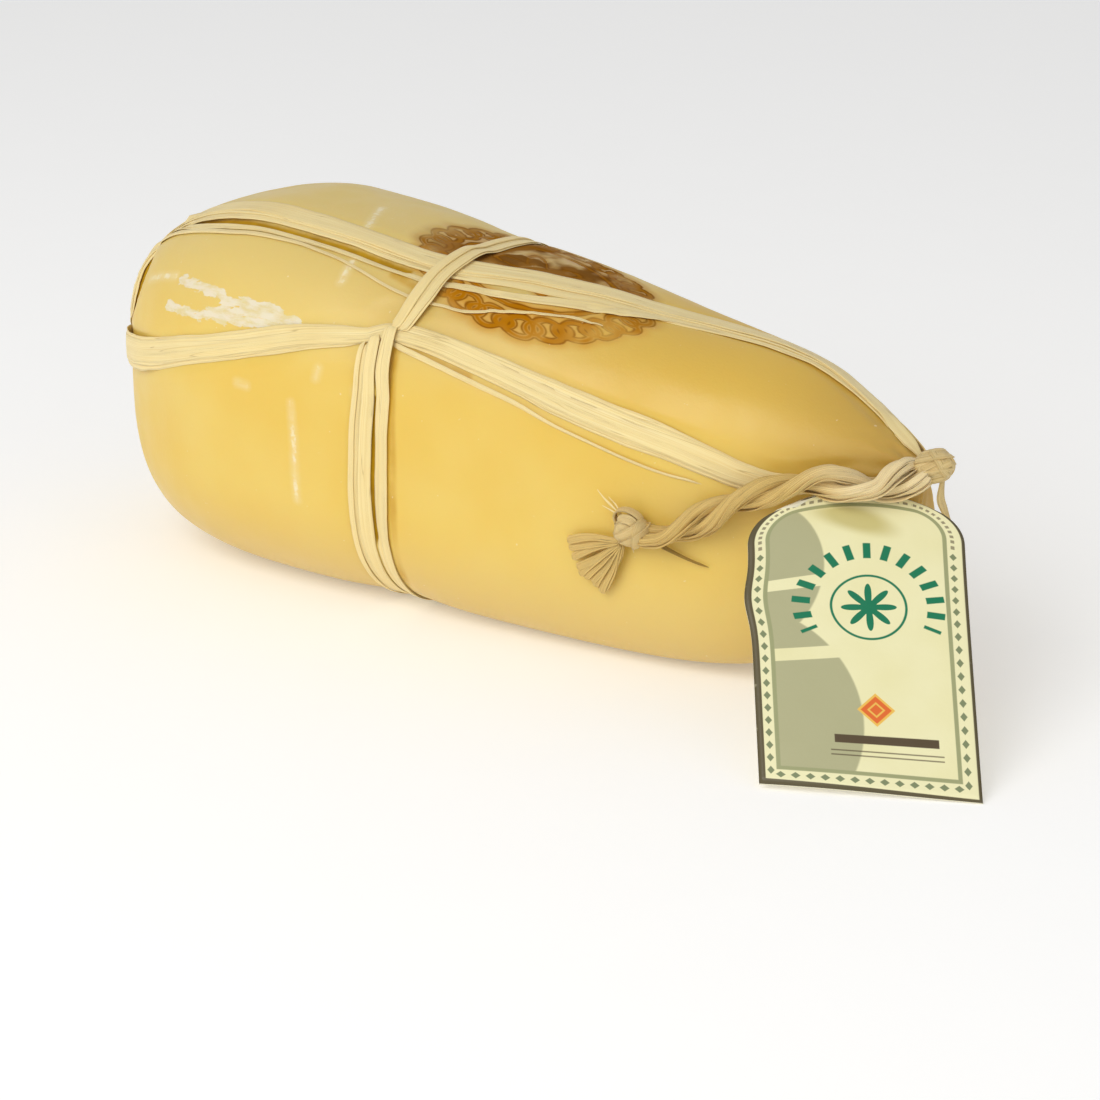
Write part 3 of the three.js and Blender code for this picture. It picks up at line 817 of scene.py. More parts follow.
# Gaps, sunk a little into the rind and given painted shade: a hollow beside the strand at the base corner,
# filled by eight lines, the gap between the top band and the thin strand, and the girth's slit.
HOLLOW_OUTER = smooth_line(map_points((0.066, 55), (0.056, 46), (0.053, 38), (0.05, 28), (0.045, 17)), 30)
HOLLOW_INNER = smooth_line(map_points((0.067, 54.5), (0.072, 47), (0.074, 39), (0.066, 28), (0.046, 17)), 30)
HOLLOW_SHARES = np.linspace(0, 1, 8)
GAP_LINES = [HOLLOW_OUTER + (HOLLOW_INNER - HOLLOW_OUTER) * share for share in HOLLOW_SHARES]
GAP_LINES += [
    map_points((0.09, 61.4), (0.16, 60.4), (0.22, 60.3), (0.272, 60.7), (0.335, 60.4), (0.38, 59.9),
               (0.43, 59.6)),
    map_points((0.4417, 14), (0.4415, 0), (0.441, -12), (0.441, -30))]
BINDING_LINES = [map_line(route) for route in (TOP_BAND_ROUTE, FRONT_BAND_ROUTE, GIRTH_ROUTE)]
drawings = {
    name: drawn_lines(name, lines) for name, lines in (
        ("bindings", BINDING_LINES), ("flakes", FLAKE_LINES), ("streaks", STREAK_LINES),
        ("crevices", CREVICE_LINES), ("gaps", GAP_LINES))}
cheese = made_by(rind_form, "cheese_rind", flat_map("rind_map", RIND_GRID, RIND_GRID), material=wax_finish(),
                 **drawings)
for drawing in drawings.values():
    bpy.data.objects.remove(drawing)
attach(cheese, "root")
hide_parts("cheese")


# Raffia bands
# Two flat bands of dried palm leaf tie the cheese lengthwise. Each is four thin strips, about 6 mm wide,
# folded along their length and laid over one another, knotted at the tip and pulled tight over the base.
TOP_BAND_HALF_WIDTHS = [
    (-1, 1.2), (-0.9, 3), (-0.8, 4.5), (0, 4.5), (0.03, 4.8), (0.08, 5.8), (0.2, 5.7), (0.25, 5.1),
    (0.35, 4.9), (0.445, 4.8), (0.52, 5.8), (0.56, 6.4), (0.7, 6), (0.8, 5.5), (0.87, 4.4), (0.93, 2.9),
    (0.99, 1.2)]
FRONT_BAND_HALF_WIDTHS = [
    (-1, 1.2), (-0.9, 3), (-0.8, 4.5), (0, 4.8), (0.09, 5.4), (0.15, 4.7), (0.224, 4.1), (0.3, 4.1),
    (0.351, 3.7), (0.398, 2.9), (0.422, 1.8), (0.45, 2.3), (0.468, 3.1), (0.553, 3.4), (0.6, 3.9),
    (0.645, 4.7), (0.73, 4.9), (0.772, 4.5), (0.813, 4.2), (0.88, 3), (0.962, 1.2)]
BAND_STRIPS = 4
BAND_WANDER = 0.2
STRIP_SIDES = 14
CROSSING_RISE = 0.00125
BASE_RISE = 0.0007
CORNER_RISE = 0.0015
DRIFT_PACE = 28
LEAN_PACE = 40
WIDTH_PACE = 45
FOLD_PACE = 30
END_SLIMNESS = 0.35


def chance(tree, identity, seed, low, high):
    """A fixed random number for each strip."""
    return step(tree, "FunctionNodeRandomValue",
                {"Min": low, "Max": high, "ID": identity, "Seed": seed}, data_type="FLOAT")


STRIP_INPUTS = [
    ("Strips", "Int", 4), ("Strip Width", "Float", 0.004), ("Thickness", "Float", 0.00028),
    ("Lift", "Float", 0.0002), ("Layers", "Float", 0.0004), ("Wander", "Float", 0.4),
    ("Ragged Ends", "Float", 0.0), ("Tilt", "Float", 0.06), ("Fold Height", "Float", 0.0001),
    ("End Taper", "Float", 0.006), ("Seed", "Int", 1), ("Material", "Material", None)]
raffia_strips, strips_input = new_tree("raffia_strips", [
    ("Path", "Geometry", None), ("Rind", "Geometry", None), ("Cling", "Float", 1.0)] + STRIP_INPUTS)
tree = raffia_strips
copies = step(tree, "GeometryNodeDuplicateElements",
              {"Geometry": strips_input["Path"], "Amount": strips_input["Strips"]}, domain="SPLINE")
strip = output_of(copies, "Duplicate Index")
seed = strips_input["Seed"]
ragged_start = chance(tree, strip, seed, 0.0, 1.0) * strips_input["Ragged Ends"]
ragged_end = chance(tree, strip, seed + 1, 0.0, 1.0) * strips_input["Ragged Ends"]
trimmed = step(tree, "GeometryNodeTrimCurve",
               {"Curve": copies, "Start": ragged_start, "End": 1 - ragged_end})
spline_share = step(tree, "GeometryNodeSplineParameter", {})
along = output_of(spline_share, "Length")
whole = step(tree, "GeometryNodeSplineLength", {})
tangent = step(tree, "GeometryNodeInputTangent", {})
spot = step(tree, "GeometryNodeInputPosition", {})
mesh_normal = step(tree, "GeometryNodeInputNormal", {})
rind_out = step(tree, "GeometryNodeSampleNearestSurface",
                {"Mesh": strips_input["Rind"], "Value": mesh_normal, "Sample Position": spot},
                data_type="FLOAT_VECTOR")
cling = strips_input["Cling"]
out = step(tree, "ShaderNodeMix", {"Factor": cling, "A": named(tree, "out", "FLOAT_VECTOR"), "B": rind_out},
           data_type="VECTOR")
side = vectors(tree, "NORMALIZE", vectors(tree, "CROSS_PRODUCT", out, tangent))
own = chance(tree, strip, seed + 2, 0.0, 40.0)
drift = noise(vector_of(along * DRIFT_PACE, own, 0.0), 1.0, 1.0) - 0.5
slot = (strip + 0.5) / strips_input["Strips"] * 2 - 1
half_strip = strips_input["Strip Width"] * 0.5 * chance(tree, strip, seed + 3, 0.8, 1.15)
half_strip = half_strip * named(tree, "slim")
room = higher(named(tree, "spread") - half_strip, 0)
across = room * higher(lower(slot * 1.1 + drift * 3 * strips_input["Wander"], 1), -1)
moved = vectors(tree, "ADD", spot, vectors(tree, "SCALE", side, across))
nearest = step(tree, "GeometryNodeProximity",
               {"Geometry": strips_input["Rind"], "Sample Position": moved}, target_element="FACES")
laid = step(tree, "ShaderNodeMix", {"Factor": cling, "A": moved, "B": nearest}, data_type="VECTOR")
lift = strips_input["Lift"] + strips_input["Layers"] * chance(tree, strip, seed + 4, 0.0, 1.0)
lift = lift + named(tree, "rise")
laid = vectors(tree, "ADD", laid, vectors(tree, "SCALE", out, lift))
strips = step(tree, "GeometryNodeSetPosition", {"Geometry": trimmed, "Position": laid})
sway = noise(vector_of(along * LEAN_PACE, own, 3.0), 1.0) - 0.5
lean = chance(tree, strip, seed + 5, -1.0, 1.0) + sway * 3
facing = vectors(tree, "ADD", out, vectors(tree, "SCALE", side, lean * strips_input["Tilt"]))
strips = step(tree, "GeometryNodeSetCurveNormal",
              {"Curve": strips, "Normal": vectors(tree, "NORMALIZE", facing)}, mode="FREE")
from_end = lower(along, whole - along)
uneven = noise(vector_of(along * WIDTH_PACE, own, 7.0), 1.0, 2.0) * 0.5 + 0.75
taper = smooth(from_end, 0.0, strips_input["End Taper"], END_SLIMNESS, 1.0)
strips = stored(tree, strips, "along", along)
strips = stored(tree, strips, "strip", own)
ring = step(tree, "GeometryNodeCurvePrimitiveCircle",
            {"Resolution": STRIP_SIDES, "Radius": 1.0}, mode="RADIUS")
ring_share = step(tree, "GeometryNodeSplineParameter", {})
ring = stored(tree, ring, "turn", ring_share)
ring_x, ring_y, _ = parts_of(step(tree, "GeometryNodeInputPosition", {}))
flatness = strips_input["Thickness"] / strips_input["Strip Width"]
flat_x = maths("SIGN", ring_x) * abs(ring_x) ** 0.5
ring = step(tree, "GeometryNodeSetPosition",
            {"Geometry": ring, "Position": vector_of(flat_x * flatness, ring_y, 0.0)})
swept = step(tree, "GeometryNodeCurveToMesh", {"Curve": strips, "Profile Curve": ring, "Fill Caps": True,
                                               "Scale": half_strip * uneven * taper})
round_turn = named(tree, "turn") * FULL_TURN
fold_place = vector_of(named(tree, "along") * FOLD_PACE, maths("COSINE", round_turn) * 1.5,
                       maths("SINE", round_turn) * 1.5 + named(tree, "strip"))
folds = (noise(fold_place, 1.0, 2.0) - 0.5) * strips_input["Fold Height"] * 2
swept_normal = step(tree, "GeometryNodeInputNormal", {})
swept = step(tree, "GeometryNodeSetPosition",
             {"Geometry": swept, "Offset": vectors(tree, "SCALE", swept_normal, folds)})
finish_tree(tree, swept, strips_input["Material"])


def strips_tree(name, on_cheese):
    """A tree that lays raffia strips along lines: map lines over the rind, or lines through the air."""
    made, given = new_tree(name, [
        ("Lines", "Geometry", None), ("Cheese", "Object", None), ("Step", "Float", 0.0013)] + STRIP_INPUTS)
    lines = step(made, "GeometryNodeMeshToCurve", {"Mesh": given["Lines"]})
    if on_cheese:
        place = step(made, "GeometryNodeInputPosition", {})
        lines = step(made, "GeometryNodeSetPosition", {"Geometry": lines, "Position": on_rind(made, place)})
    lines = step(made, "GeometryNodeResampleCurve", {"Curve": lines, "Length": given["Step"]}, mode="LENGTH")
    info = step(made, "GeometryNodeObjectInfo", {"Object": given["Cheese"]})
    inputs = {label: given[label] for label, _, _ in STRIP_INPUTS}
    inputs.update({"Path": lines, "Rind": output_of(info, "Geometry"), "Cling": 1.0 if on_cheese else 0.0})
    give_back(made, "Geometry", use_tree(made, raffia_strips, inputs))
    return made


raffia_on_rind = strips_tree("raffia_on_rind", True)
raffia_in_air = strips_tree("raffia_in_air", False)


STRAW_PALE = colour(247, 227, 168)
STRAW_DEEP = colour(235, 207, 140)
STRAW_CREASE = colour(150, 112, 50)
# Painted light: a paler straw for the cord's right end, which lies in shade.
STRAW_PAINTED_LIGHT = colour(246, 226, 180)
PAINTED_LIGHT_LENGTH = 0.02
CREASE_WIDTH = 0.012


def leaf_finish(name, pale, deep, crease, crease_share=0.36, painted_light_from=None):
    """Dried palm leaf: fine fibres along the strip, a few darker folds, paler and deeper strips, and if
    asked, painted light that makes it paler from a given x on.
    """
    material, tree, shader = new_finish(name)
    run = attribute(tree, "along")
    turn = attribute(tree, "turn") * FULL_TURN
    which = attribute(tree, "strip")
    around_x = maths("COSINE", turn)
    around_y = maths("SINE", turn)
    fibres = noise(vector_of(run * 18, around_x * 15, around_y * 15 + which * 3), 1.0, 3.0, 0.6)
    fold_lines = noise(vector_of(run * 14, around_x * 1.3, around_y * 1.3 + which * 5), 1.0, 1.0)
    crease_line = fade(abs(fold_lines - 0.5), 0.0, CREASE_WIDTH)
    patches = noise(vector_of(run * 45, which, 0.0), 1.0, 2.0)
    straw = mix_colours(smooth(fibres, 0.3, 0.7), deep, pale)
    straw = mix_colours(smooth(patches, 0.5, 0.75) * 0.5, straw, deep)
    # Painted light: paler from a given x on, lifting an end that lies in shade.
    if painted_light_from is not None:
        x, _, _ = parts_of(object_place(tree))
        painted_light = smooth(x, painted_light_from, painted_light_from + PAINTED_LIGHT_LENGTH)
        straw = mix_colours(painted_light * 0.7, straw, STRAW_PAINTED_LIGHT)
    straw = mix_colours(crease_line * crease_share, straw, crease)
    feed(tree, shader.inputs["Base Color"], straw)
    feed(tree, shader.inputs["Roughness"], smooth(fibres, 0.2, 0.8, 0.68, 0.5))
    shader.inputs["Specular IOR Level"].default_value = 0.35
    shader.inputs["Sheen Weight"].default_value = 0.1
    shader.inputs["Subsurface Weight"].default_value = 0.12
    shader.inputs["Subsurface Radius"].default_value = (1.0, 0.7, 0.35)
    shader.inputs["Subsurface Scale"].default_value = 0.0008
    bump(tree, shader, fibres - crease_line, 0.00004, 0.8)
    return material


raffia_finish = leaf_finish("pale_raffia", STRAW_PALE, STRAW_DEEP, STRAW_CREASE)


def soft_step(value, low, high):
    """0 below one value and 1 above another, with a soft way between."""
    share = np.clip((value - low) / (high - low), 0, 1)
    return share * share * (3 - 2 * share)


def strip_lines(name, lines, spread=0.0, rise=0.0, slim=1.0, **values):
    """Lines for strips, with half the room to spread in, the height and the slimness at every point."""
    count = sum(len(line) for line in lines)
    return line_mesh(name, lines, spread=np.broadcast_to(spread, count), rise=np.broadcast_to(rise, count),
                     slim=np.broadcast_to(slim, count), **values)


def raffia_piece(name, node, route, half_spread, rise, slim=1.0, **settings):
    """Raffia strips laid along a route over the rind, standing for one node of the frame."""
    mesh = strip_lines(name, [map_line(route)], half_spread, rise, slim)
    piece = made_by(raffia_on_rind, name, mesh, cheese=cheese, material=raffia_finish, **settings)
    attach(piece, "root")
    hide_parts(node)


def half_widths(route, table):
    """Half the band's width along its route: stations on the far flank count below nothing."""
    turning = np.argmin(route[0])
    near_or_far = np.where(np.arange(len(route[0])) <= turning, route[0], -route[0])
    stations, sizes = np.array(table).T
    return np.interp(near_or_far, stations, sizes * 0.001)


def slimness(spread, full_spread, least):
    """How slim each strip is, from least where the band is drawn together to 1 at its full spread."""
    return least + (1 - least) * np.minimum(spread / full_spread, 1)


top_spread = half_widths(TOP_BAND_ROUTE, TOP_BAND_HALF_WIDTHS)
top_rise = BASE_RISE * (1 - soft_step(TOP_BAND_ROUTE[0], 0.03, 0.08))
raffia_piece("top_band_raffia", "band_top", TOP_BAND_ROUTE, top_spread, top_rise, strips=BAND_STRIPS,
             strip_width=0.0066, wander=BAND_WANDER, slim=slimness(top_spread, 0.005, 0.35), seed=3)
front_spread = half_widths(FRONT_BAND_ROUTE, FRONT_BAND_HALF_WIDTHS)
towards_far = -np.sqrt(FRONT_BAND_ROUTE[0]) * np.cos(FRONT_BAND_ROUTE[1])
over_top_band = 1 - soft_step(np.abs(towards_far - 0.115), 0.07, 0.12)
over_strand = 1 - soft_step(np.abs(towards_far + 0.25), 0.06, 0.13)
front_rise = CROSSING_RISE * over_top_band + CORNER_RISE * over_strand
raffia_piece("front_band_raffia", "band_front", FRONT_BAND_ROUTE, front_spread, front_rise,
             strips=BAND_STRIPS, strip_width=0.0058, wander=BAND_WANDER,
             slim=slimness(front_spread, 0.0047, 0.3), seed=11)


# Single strands
# Thin strands of the same palm leaf that have slipped out of the two bands and lie beside them, with
# their ends tucked under the band, the girth or the cord.
STRAND_POINTS = 160
FRONT_STRAND_POINTS = 120
TUCK_DEPTH = 0.0007
TUCK_SHARE = 0.04
THIN_FULL_SPREAD = 0.0024
LOOSE_FULL_SPREAD = 0.0009


def tucked(route, start, end):
    """A dive of the strip's first or last few points under what covers it."""
    share = np.linspace(0, 1, len(route[0]))
    dive = np.zeros(len(share))
    if start:
        dive -= TUCK_DEPTH * (1 - soft_step(share, 0.0, TUCK_SHARE))
    if end:
        dive -= TUCK_DEPTH * soft_step(share, 1.0 - TUCK_SHARE, 1.0)
    return dive


top_thin_route = map_route([
    (0.02, -5), (0.03, 8), (0.039, 18), (0.044, 29), (0.046, 38), (0.05, 47), (0.066, 55.5),
    (0.1, 58.3), (0.147, 56.8), (0.183, 56.5), (0.214, 56.8), (0.268, 58), (0.323, 57.8), (0.402, 57.3),
    (0.452, 57.5), (0.521, 59.5), (0.565, 61.8), (0.605, 66), (0.643, 71), (0.69, 78.5),
    (0.73, 87)], STRAND_POINTS)
thin_spread = np.interp(top_thin_route[0], [0.03, 0.045, 0.06, 0.1, 0.3, 0.45, 0.55, 0.62, 0.7, 0.73],
                        [0.0016, 0.0024, 0.0022, 0.0013, 0.0011, 0.0011, 0.0014, 0.0024, 0.0022, 0.0012])
raffia_piece("top_thin_raffia", "strand_top_thin", top_thin_route, thin_spread,
             tucked(top_thin_route, True, True), slim=thin_spread / THIN_FULL_SPREAD, strips=2,
             strip_width=0.0032, layers=0.0002, lift=0.00015, seed=21)
top_loose_route = map_route([
    (0.05, 42), (0.05, 48), (0.062, 53), (0.1, 55), (0.136, 54.5), (0.206, 54.2), (0.26, 55.8),
    (0.3, 56.2), (0.328, 55.5), (0.357, 54.6), (0.387, 53), (0.442, 50), (0.484, 49.4), (0.516, 49.4),
    (0.556, 53.5), (0.596, 57.5), (0.636, 61), (0.663, 61.5)], STRAND_POINTS)
loose_spread = np.interp(top_loose_route[0], [0.05, 0.25, 0.35, 0.6], [0.0009, 0.0008, 0.0005, 0.0005])
raffia_piece("top_loose_raffia", "strand_top_loose", top_loose_route, loose_spread,
             tucked(top_loose_route, True, False), slim=loose_spread / LOOSE_FULL_SPREAD, strips=2,
             strip_width=0.0014, ragged_ends=0.02, seed=25)
front_thin_route = map_route([
    (0.445, 34.2), (0.462, 32.9), (0.494, 31), (0.543, 27.8), (0.59, 24.4), (0.613, 22.3), (0.647, 18),
    (0.69, 13), (0.732, 7.2), (0.773, 1.8), (0.807, -1.6)], FRONT_STRAND_POINTS)
front_strand_spread = np.interp(front_thin_route[0], [0.45, 0.58, 0.65, 0.8],
                                [0.0009, 0.0008, 0.0005, 0.0004])
raffia_piece("front_thin_raffia", "strand_front_thin", front_thin_route, front_strand_spread,
             tucked(front_thin_route, True, True), slim=front_strand_spread / LOOSE_FULL_SPREAD, strips=2,
             strip_width=0.0015, seed=31)


# Girth
# Three strands of palm leaf round the waist. They fold over the front band, run under the belly and up the
# far flank, and come back over the top band as one folded strip that is tucked in where it began.
GIRTH_STRANDS = (
    {"node": "girth_left", "from": -0.5, "to": -0.27, "top": 32, "strips": 2, "strip_width": 0.0016},
    {"node": "girth_middle", "from": -0.25, "to": 0.04, "top": 36, "strips": 1, "strip_width": 0.0040},
    {"node": "girth_right", "from": 0.15, "to": 0.52, "top": 40, "strips": 2, "strip_width": 0.0040})
GIRTH_CROSSINGS = ((37, 12), (-301, 19), (-160, 11), (-209, 11))
CROSSING_RAMP = 10
UPPER_STRIP_WIDTH = 0.0031
END_TUCK = 0.0005
FOLD_TUCK = 0.0014
FOLD_TURN = 2.5
girth_angle = np.degrees(GIRTH_ROUTE[1])
girth_spread = np.interp(
    -girth_angle, [-41, -15, 15, 45, 75, 180, 250, 280, 310, 322],
    [0.0085, 0.011, 0.012, 0.0105, 0.009, 0.008, 0.0056, 0.0052, 0.0048, 0.003])
girth_rise = np.zeros(len(girth_angle))
for crossing, half in GIRTH_CROSSINGS:
    over = 1 - soft_step(np.abs(girth_angle - crossing), half, half + CROSSING_RAMP)
    girth_rise = np.maximum(girth_rise, CROSSING_RISE * over)
girth_rise = girth_rise - END_TUCK * soft_step(-girth_angle, 312, 320)
upper = soft_step(-girth_angle, 225, 255)
for place, strand in enumerate(GIRTH_STRANDS):
    middle = (strand["from"] + strand["to"]) / 2
    shown = girth_angle <= strand["top"]
    strand_route = ((GIRTH_ROUTE[0] + middle * girth_spread / LENGTH)[shown], GIRTH_ROUTE[1][shown])
    strand_width = (strand["to"] - strand["from"]) * girth_spread
    upper_slim = UPPER_STRIP_WIDTH / strand["strip_width"]
    slim = strand_width / strand_width.max() * (1 - upper) + upper_slim * upper
    fold_over = 1 - soft_step(strand["top"] - girth_angle, 0.0, FOLD_TURN)
    strand_rise = girth_rise - FOLD_TUCK * fold_over
    raffia_piece(strand["node"] + "_raffia", strand["node"], strand_route,
                 (strand_width * 0.6 + 0.0003)[shown], strand_rise[shown], slim=slim[shown],
                 strips=strand["strips"], strip_width=strand["strip_width"], layers=0.0005, end_taper=0.0004,
                 wander=0.3, seed=41 + 7 * place)


# Cord
# A hanging cord of two plies, each a twist of flat raffia strips, laid from the tip knot along the front
# flank over the tag's upper edge. It shows from end to end, about 74 mm, and is knotted at its loose end.
CORD_PITCH = 0.036
CORD_FACING = tuple(view_back)
CORD_LEVEL_AT = 0.004
CORD_STEP = 0.0007
CORD_EYE_AT = 0.005
CORD_EYE_REACH = 0.007
CORD_LOOSE_PLACES = ((0.021, 0.009, 0.15), (0.055, 0.008, 0.1))
CORD_DRAWN_IN = (0.06, 0.073)
CORD_DRAWN_SHARE = 0.25
CORD_KNOT_REACH = 0.0035
CORD_PALE = colour(232, 203, 128)
CORD_DEEP = colour(182, 144, 70)
CORD_CREASE = colour(84, 54, 18)
CORD_ROUTE = np.array([
    (0.1275, -0.0055, 0.0600), (0.1245, -0.0100, 0.0586), (0.1203, -0.0133, 0.0562),
    (0.1140, -0.0170, 0.0566), (0.1074, -0.0202, 0.0576), (0.1019, -0.0227, 0.0564),
    (0.0930, -0.0263, 0.0526), (0.0862, -0.0286, 0.0490), (0.0794, -0.0310, 0.0444),
    (0.0747, -0.0327, 0.0413), (0.0700, -0.0343, 0.0393), (0.0665, -0.0353, 0.0392)])

twisted_cord, cord_input = new_tree("twisted_cord", [
    ("Line", "Geometry", None), ("Plies", "Int", 2), ("Strips", "Int", 7), ("Pitch", "Float", CORD_PITCH),
    ("Ply Offset", "Float", 0.0019), ("Strip Offset", "Float", 0.00155), ("Strip Width", "Float", 0.0024),
    ("Thickness", "Float", 0.0004), ("Slack", "Float", 0.35), ("Seed", "Int", 5),
    ("Material", "Material", None)])
tree = twisted_cord
cord_line = step(tree, "GeometryNodeMeshToCurve", {"Mesh": cord_input["Line"]})
cord_line = step(tree, "GeometryNodeResampleCurve", {"Curve": cord_line, "Length": CORD_STEP}, mode="LENGTH")
strands = step(tree, "GeometryNodeDuplicateElements",
               {"Geometry": cord_line, "Amount": cord_input["Plies"] * cord_input["Strips"]}, domain="SPLINE")
strand = output_of(strands, "Duplicate Index")
ply = maths("FLOOR", (strand + 0.5) / cord_input["Strips"])
leaf = strand - ply * cord_input["Strips"]
cord_along = output_of(step(tree, "GeometryNodeSplineParameter", {}), "Length")
cord_tangent = step(tree, "GeometryNodeInputTangent", {})
cord_up = vectors(tree, "NORMALIZE", vectors(tree, "CROSS_PRODUCT", cord_tangent, CORD_FACING))
cord_front = vectors(tree, "CROSS_PRODUCT", cord_up, cord_tangent)
lay = (cord_along - CORD_LEVEL_AT) / cord_input["Pitch"] * FULL_TURN
lay = lay + ply / cord_input["Plies"] * FULL_TURN


def turned(tree, first, second, angle):
    """A unit vector at an angle from one direction towards another."""
    return vectors(tree, "ADD", vectors(tree, "SCALE", first, maths("COSINE", angle)),
                   vectors(tree, "SCALE", second, maths("SINE", angle)))


leaf_lay = lay * 0.5 + leaf / cord_input["Strips"] * FULL_TURN + ply * 0.5
ply_out = turned(tree, cord_up, cord_front, lay)
leaf_out = turned(tree, cord_up, cord_front, leaf_lay)
own_wave = noise(vector_of(cord_along * 90, strand * 7.3, 0.0), 1.0, 1.0) - 0.5
slack = 1 - smooth(cord_along, *CORD_DRAWN_IN, 0.0, CORD_DRAWN_SHARE)
slack = slack + bell(cord_along - CORD_EYE_AT, CORD_EYE_REACH) * cord_input["Slack"]
for loose_at, loose_reach, looseness in CORD_LOOSE_PLACES:
    slack = slack + bell(cord_along - loose_at, loose_reach) * looseness
leaf_reach = cord_input["Strip Offset"] * (own_wave * 1.2 + 1) * slack
cord_spot = step(tree, "GeometryNodeInputPosition", {})
cord_spot = vectors(tree, "ADD", cord_spot, vectors(tree, "SCALE", ply_out, cord_input["Ply Offset"] * slack))
cord_spot = vectors(tree, "ADD", cord_spot, vectors(tree, "SCALE", leaf_out, leaf_reach))
for label, value in (("spread", 0.0), ("rise", 0.0), ("slim", 1.0)):
    strands = stored(tree, strands, label, value)
strands = stored(tree, strands, "out", leaf_out, "FLOAT_VECTOR")
strands = step(tree, "GeometryNodeSetPosition", {"Geometry": strands, "Position": cord_spot})
give_back(tree, "Geometry", use_tree(tree, raffia_strips, {
    "Path": strands, "Cling": 0.0, "Strips": 1, "Lift": 0.0, "Layers": 0.0, "Wander": 0.0, "Tilt": 0.8,
    "Fold Height": 0.0004, "End Taper": 0.0004, "Strip Width": cord_input["Strip Width"],
    "Thickness": cord_input["Thickness"], "Seed": cord_input["Seed"], "Material": cord_input["Material"]}))

# The cord's strips are made paler towards its right end by painted light.
cord_finish = leaf_finish("cord_raffia", CORD_PALE, CORD_DEEP, CORD_CREASE, 0.8, painted_light_from=0.1)
cord_path = smooth_line(CORD_ROUTE, 80)
into_knot = cord_path[-1:] - np.array([(CORD_KNOT_REACH, 0.0, 0.0)])
cord_line_mesh = line_mesh("hanging_cord", [np.vstack([cord_path, into_knot])])
cord = made_by(twisted_cord, "hanging_cord", cord_line_mesh, material=cord_finish)
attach(cord, "root")
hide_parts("cord")


# Tip knot
# Where the bands, the cord and the tag's strand are tied: a stubby head of the same raffia, its strips wound
# lengthwise and across, standing out of the cheese's tip.
def wound_turns(centre, radii, turns, facing=np.eye(3), blunt=1.0):
    """Turns of raffia round a ball, each given by its axis and its place along that axis.

    A turn begins and ends on the side away from the camera."""
    lines = []
    outs = []
    away = facing @ -np.array(view_back)
    for axis_way, place in turns:
        axis_way = np.array(axis_way, float) / np.linalg.norm(axis_way)
        first = away - axis_way * (away @ axis_way)
        first /= np.linalg.norm(first)
        second = np.cross(axis_way, first)
        angle = np.radians(np.linspace(5, 355, 60))[:, None]
        ring = first * np.cos(angle) + second * np.sin(angle)
        ball = ring * math.sqrt(1 - place * place) + axis_way * place
        ball = np.sign(ball) * np.abs(ball) ** blunt
        lines.append(np.array(centre) + (ball * radii) @ facing)
        outs.append((ball / radii / np.linalg.norm(ball / radii, axis=1, keepdims=True)) @ facing)
    return lines, np.vstack(outs)


def air_piece(name, lines, outs, spread=0.0, slim=1.0, **settings):
    """Raffia strips along lines through the air, each line with the direction its strips face."""
    mesh = strip_lines(name, lines, spread, slim=slim, out=outs)
    return made_by(raffia_in_air, name, mesh, cheese=cheese, **settings)


TIP_KNOT_CENTRE = (0.1289, -0.0030, 0.0610)
TIP_KNOT_RADII = np.array((0.0042, 0.0028, 0.0028))
TIP_KNOT_WAY = Vector((0.78, 0.55, 0.24)).normalized()
TIP_KNOT_BLUNTNESS = 0.75
knot_across = view_back.cross(TIP_KNOT_WAY).normalized()
knot_front = TIP_KNOT_WAY.cross(knot_across)
KNOT_PALE = colour(230, 206, 150)
KNOT_DEEP = colour(196, 166, 102)
KNOT_CREASE = colour(104, 74, 32)
knot_finish = leaf_finish("knot_raffia", KNOT_PALE, KNOT_DEEP, KNOT_CREASE, 0.6)
tip_lines, tip_outs = wound_turns(TIP_KNOT_CENTRE, TIP_KNOT_RADII, [
    ((0.1, 1.0, 0.1), -0.62), ((-0.15, 1.0, 0.0), 0.0), ((0.12, 1.0, -0.2), 0.6),
    ((0.3, 0.4, 1.0), 0.1), ((-0.2, -0.6, 1.0), -0.3), ((1.0, 0.3, 0.1), 0.55)],
    np.array((TIP_KNOT_WAY, knot_across, knot_front)), TIP_KNOT_BLUNTNESS)
tip_knot = air_piece("tip_knot_raffia", tip_lines, tip_outs, strips=1, strip_width=0.0038, thickness=0.0005,
                     lift=0.0, layers=0.0006, tilt=0.2, fold_height=0.0004, step=0.0006, seed=61,
                     material=knot_finish)
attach(tip_knot, "root")
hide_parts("tip_knot")


# End knot
# An overhand knot in the cord's own strips: one strap pulled tight across, a bight that stands up in an
# arch above it, pale wisps that have split off, and one stiff dry stem that points back below the cord.
END_KNOT_CENTRE = (0.0625, -0.0350, 0.0392)
END_KNOT_RADII = np.array((0.0045, 0.0034, 0.0035))
STRAP_WAY = (-1.0, -0.2, 0.1)
SLANT_WAY = (-0.6, -0.2, 0.8)
end_lines, end_outs = wound_turns(END_KNOT_CENTRE, END_KNOT_RADII, [
    (STRAP_WAY, -0.6), (STRAP_WAY, 0.5), (SLANT_WAY, 0.55), (SLANT_WAY, 0.05), (SLANT_WAY, -0.45)])
ARCH_MIDDLE = np.array((0.0603, -0.0345, 0.0418))
ARCH_SLIMNESS = 0.55
arch_line = smooth_line(np.array([
    (65.0, -34.6, 40.6), (64.4, -35.0, 43.2), (62.4, -35.6, 44.6), (60.4, -35.9, 45.0), (58.4, -36.1, 44.4),
    (57.6, -36.0, 42.8), (58.4, -35.4, 40.4)]) * 0.001, 40)
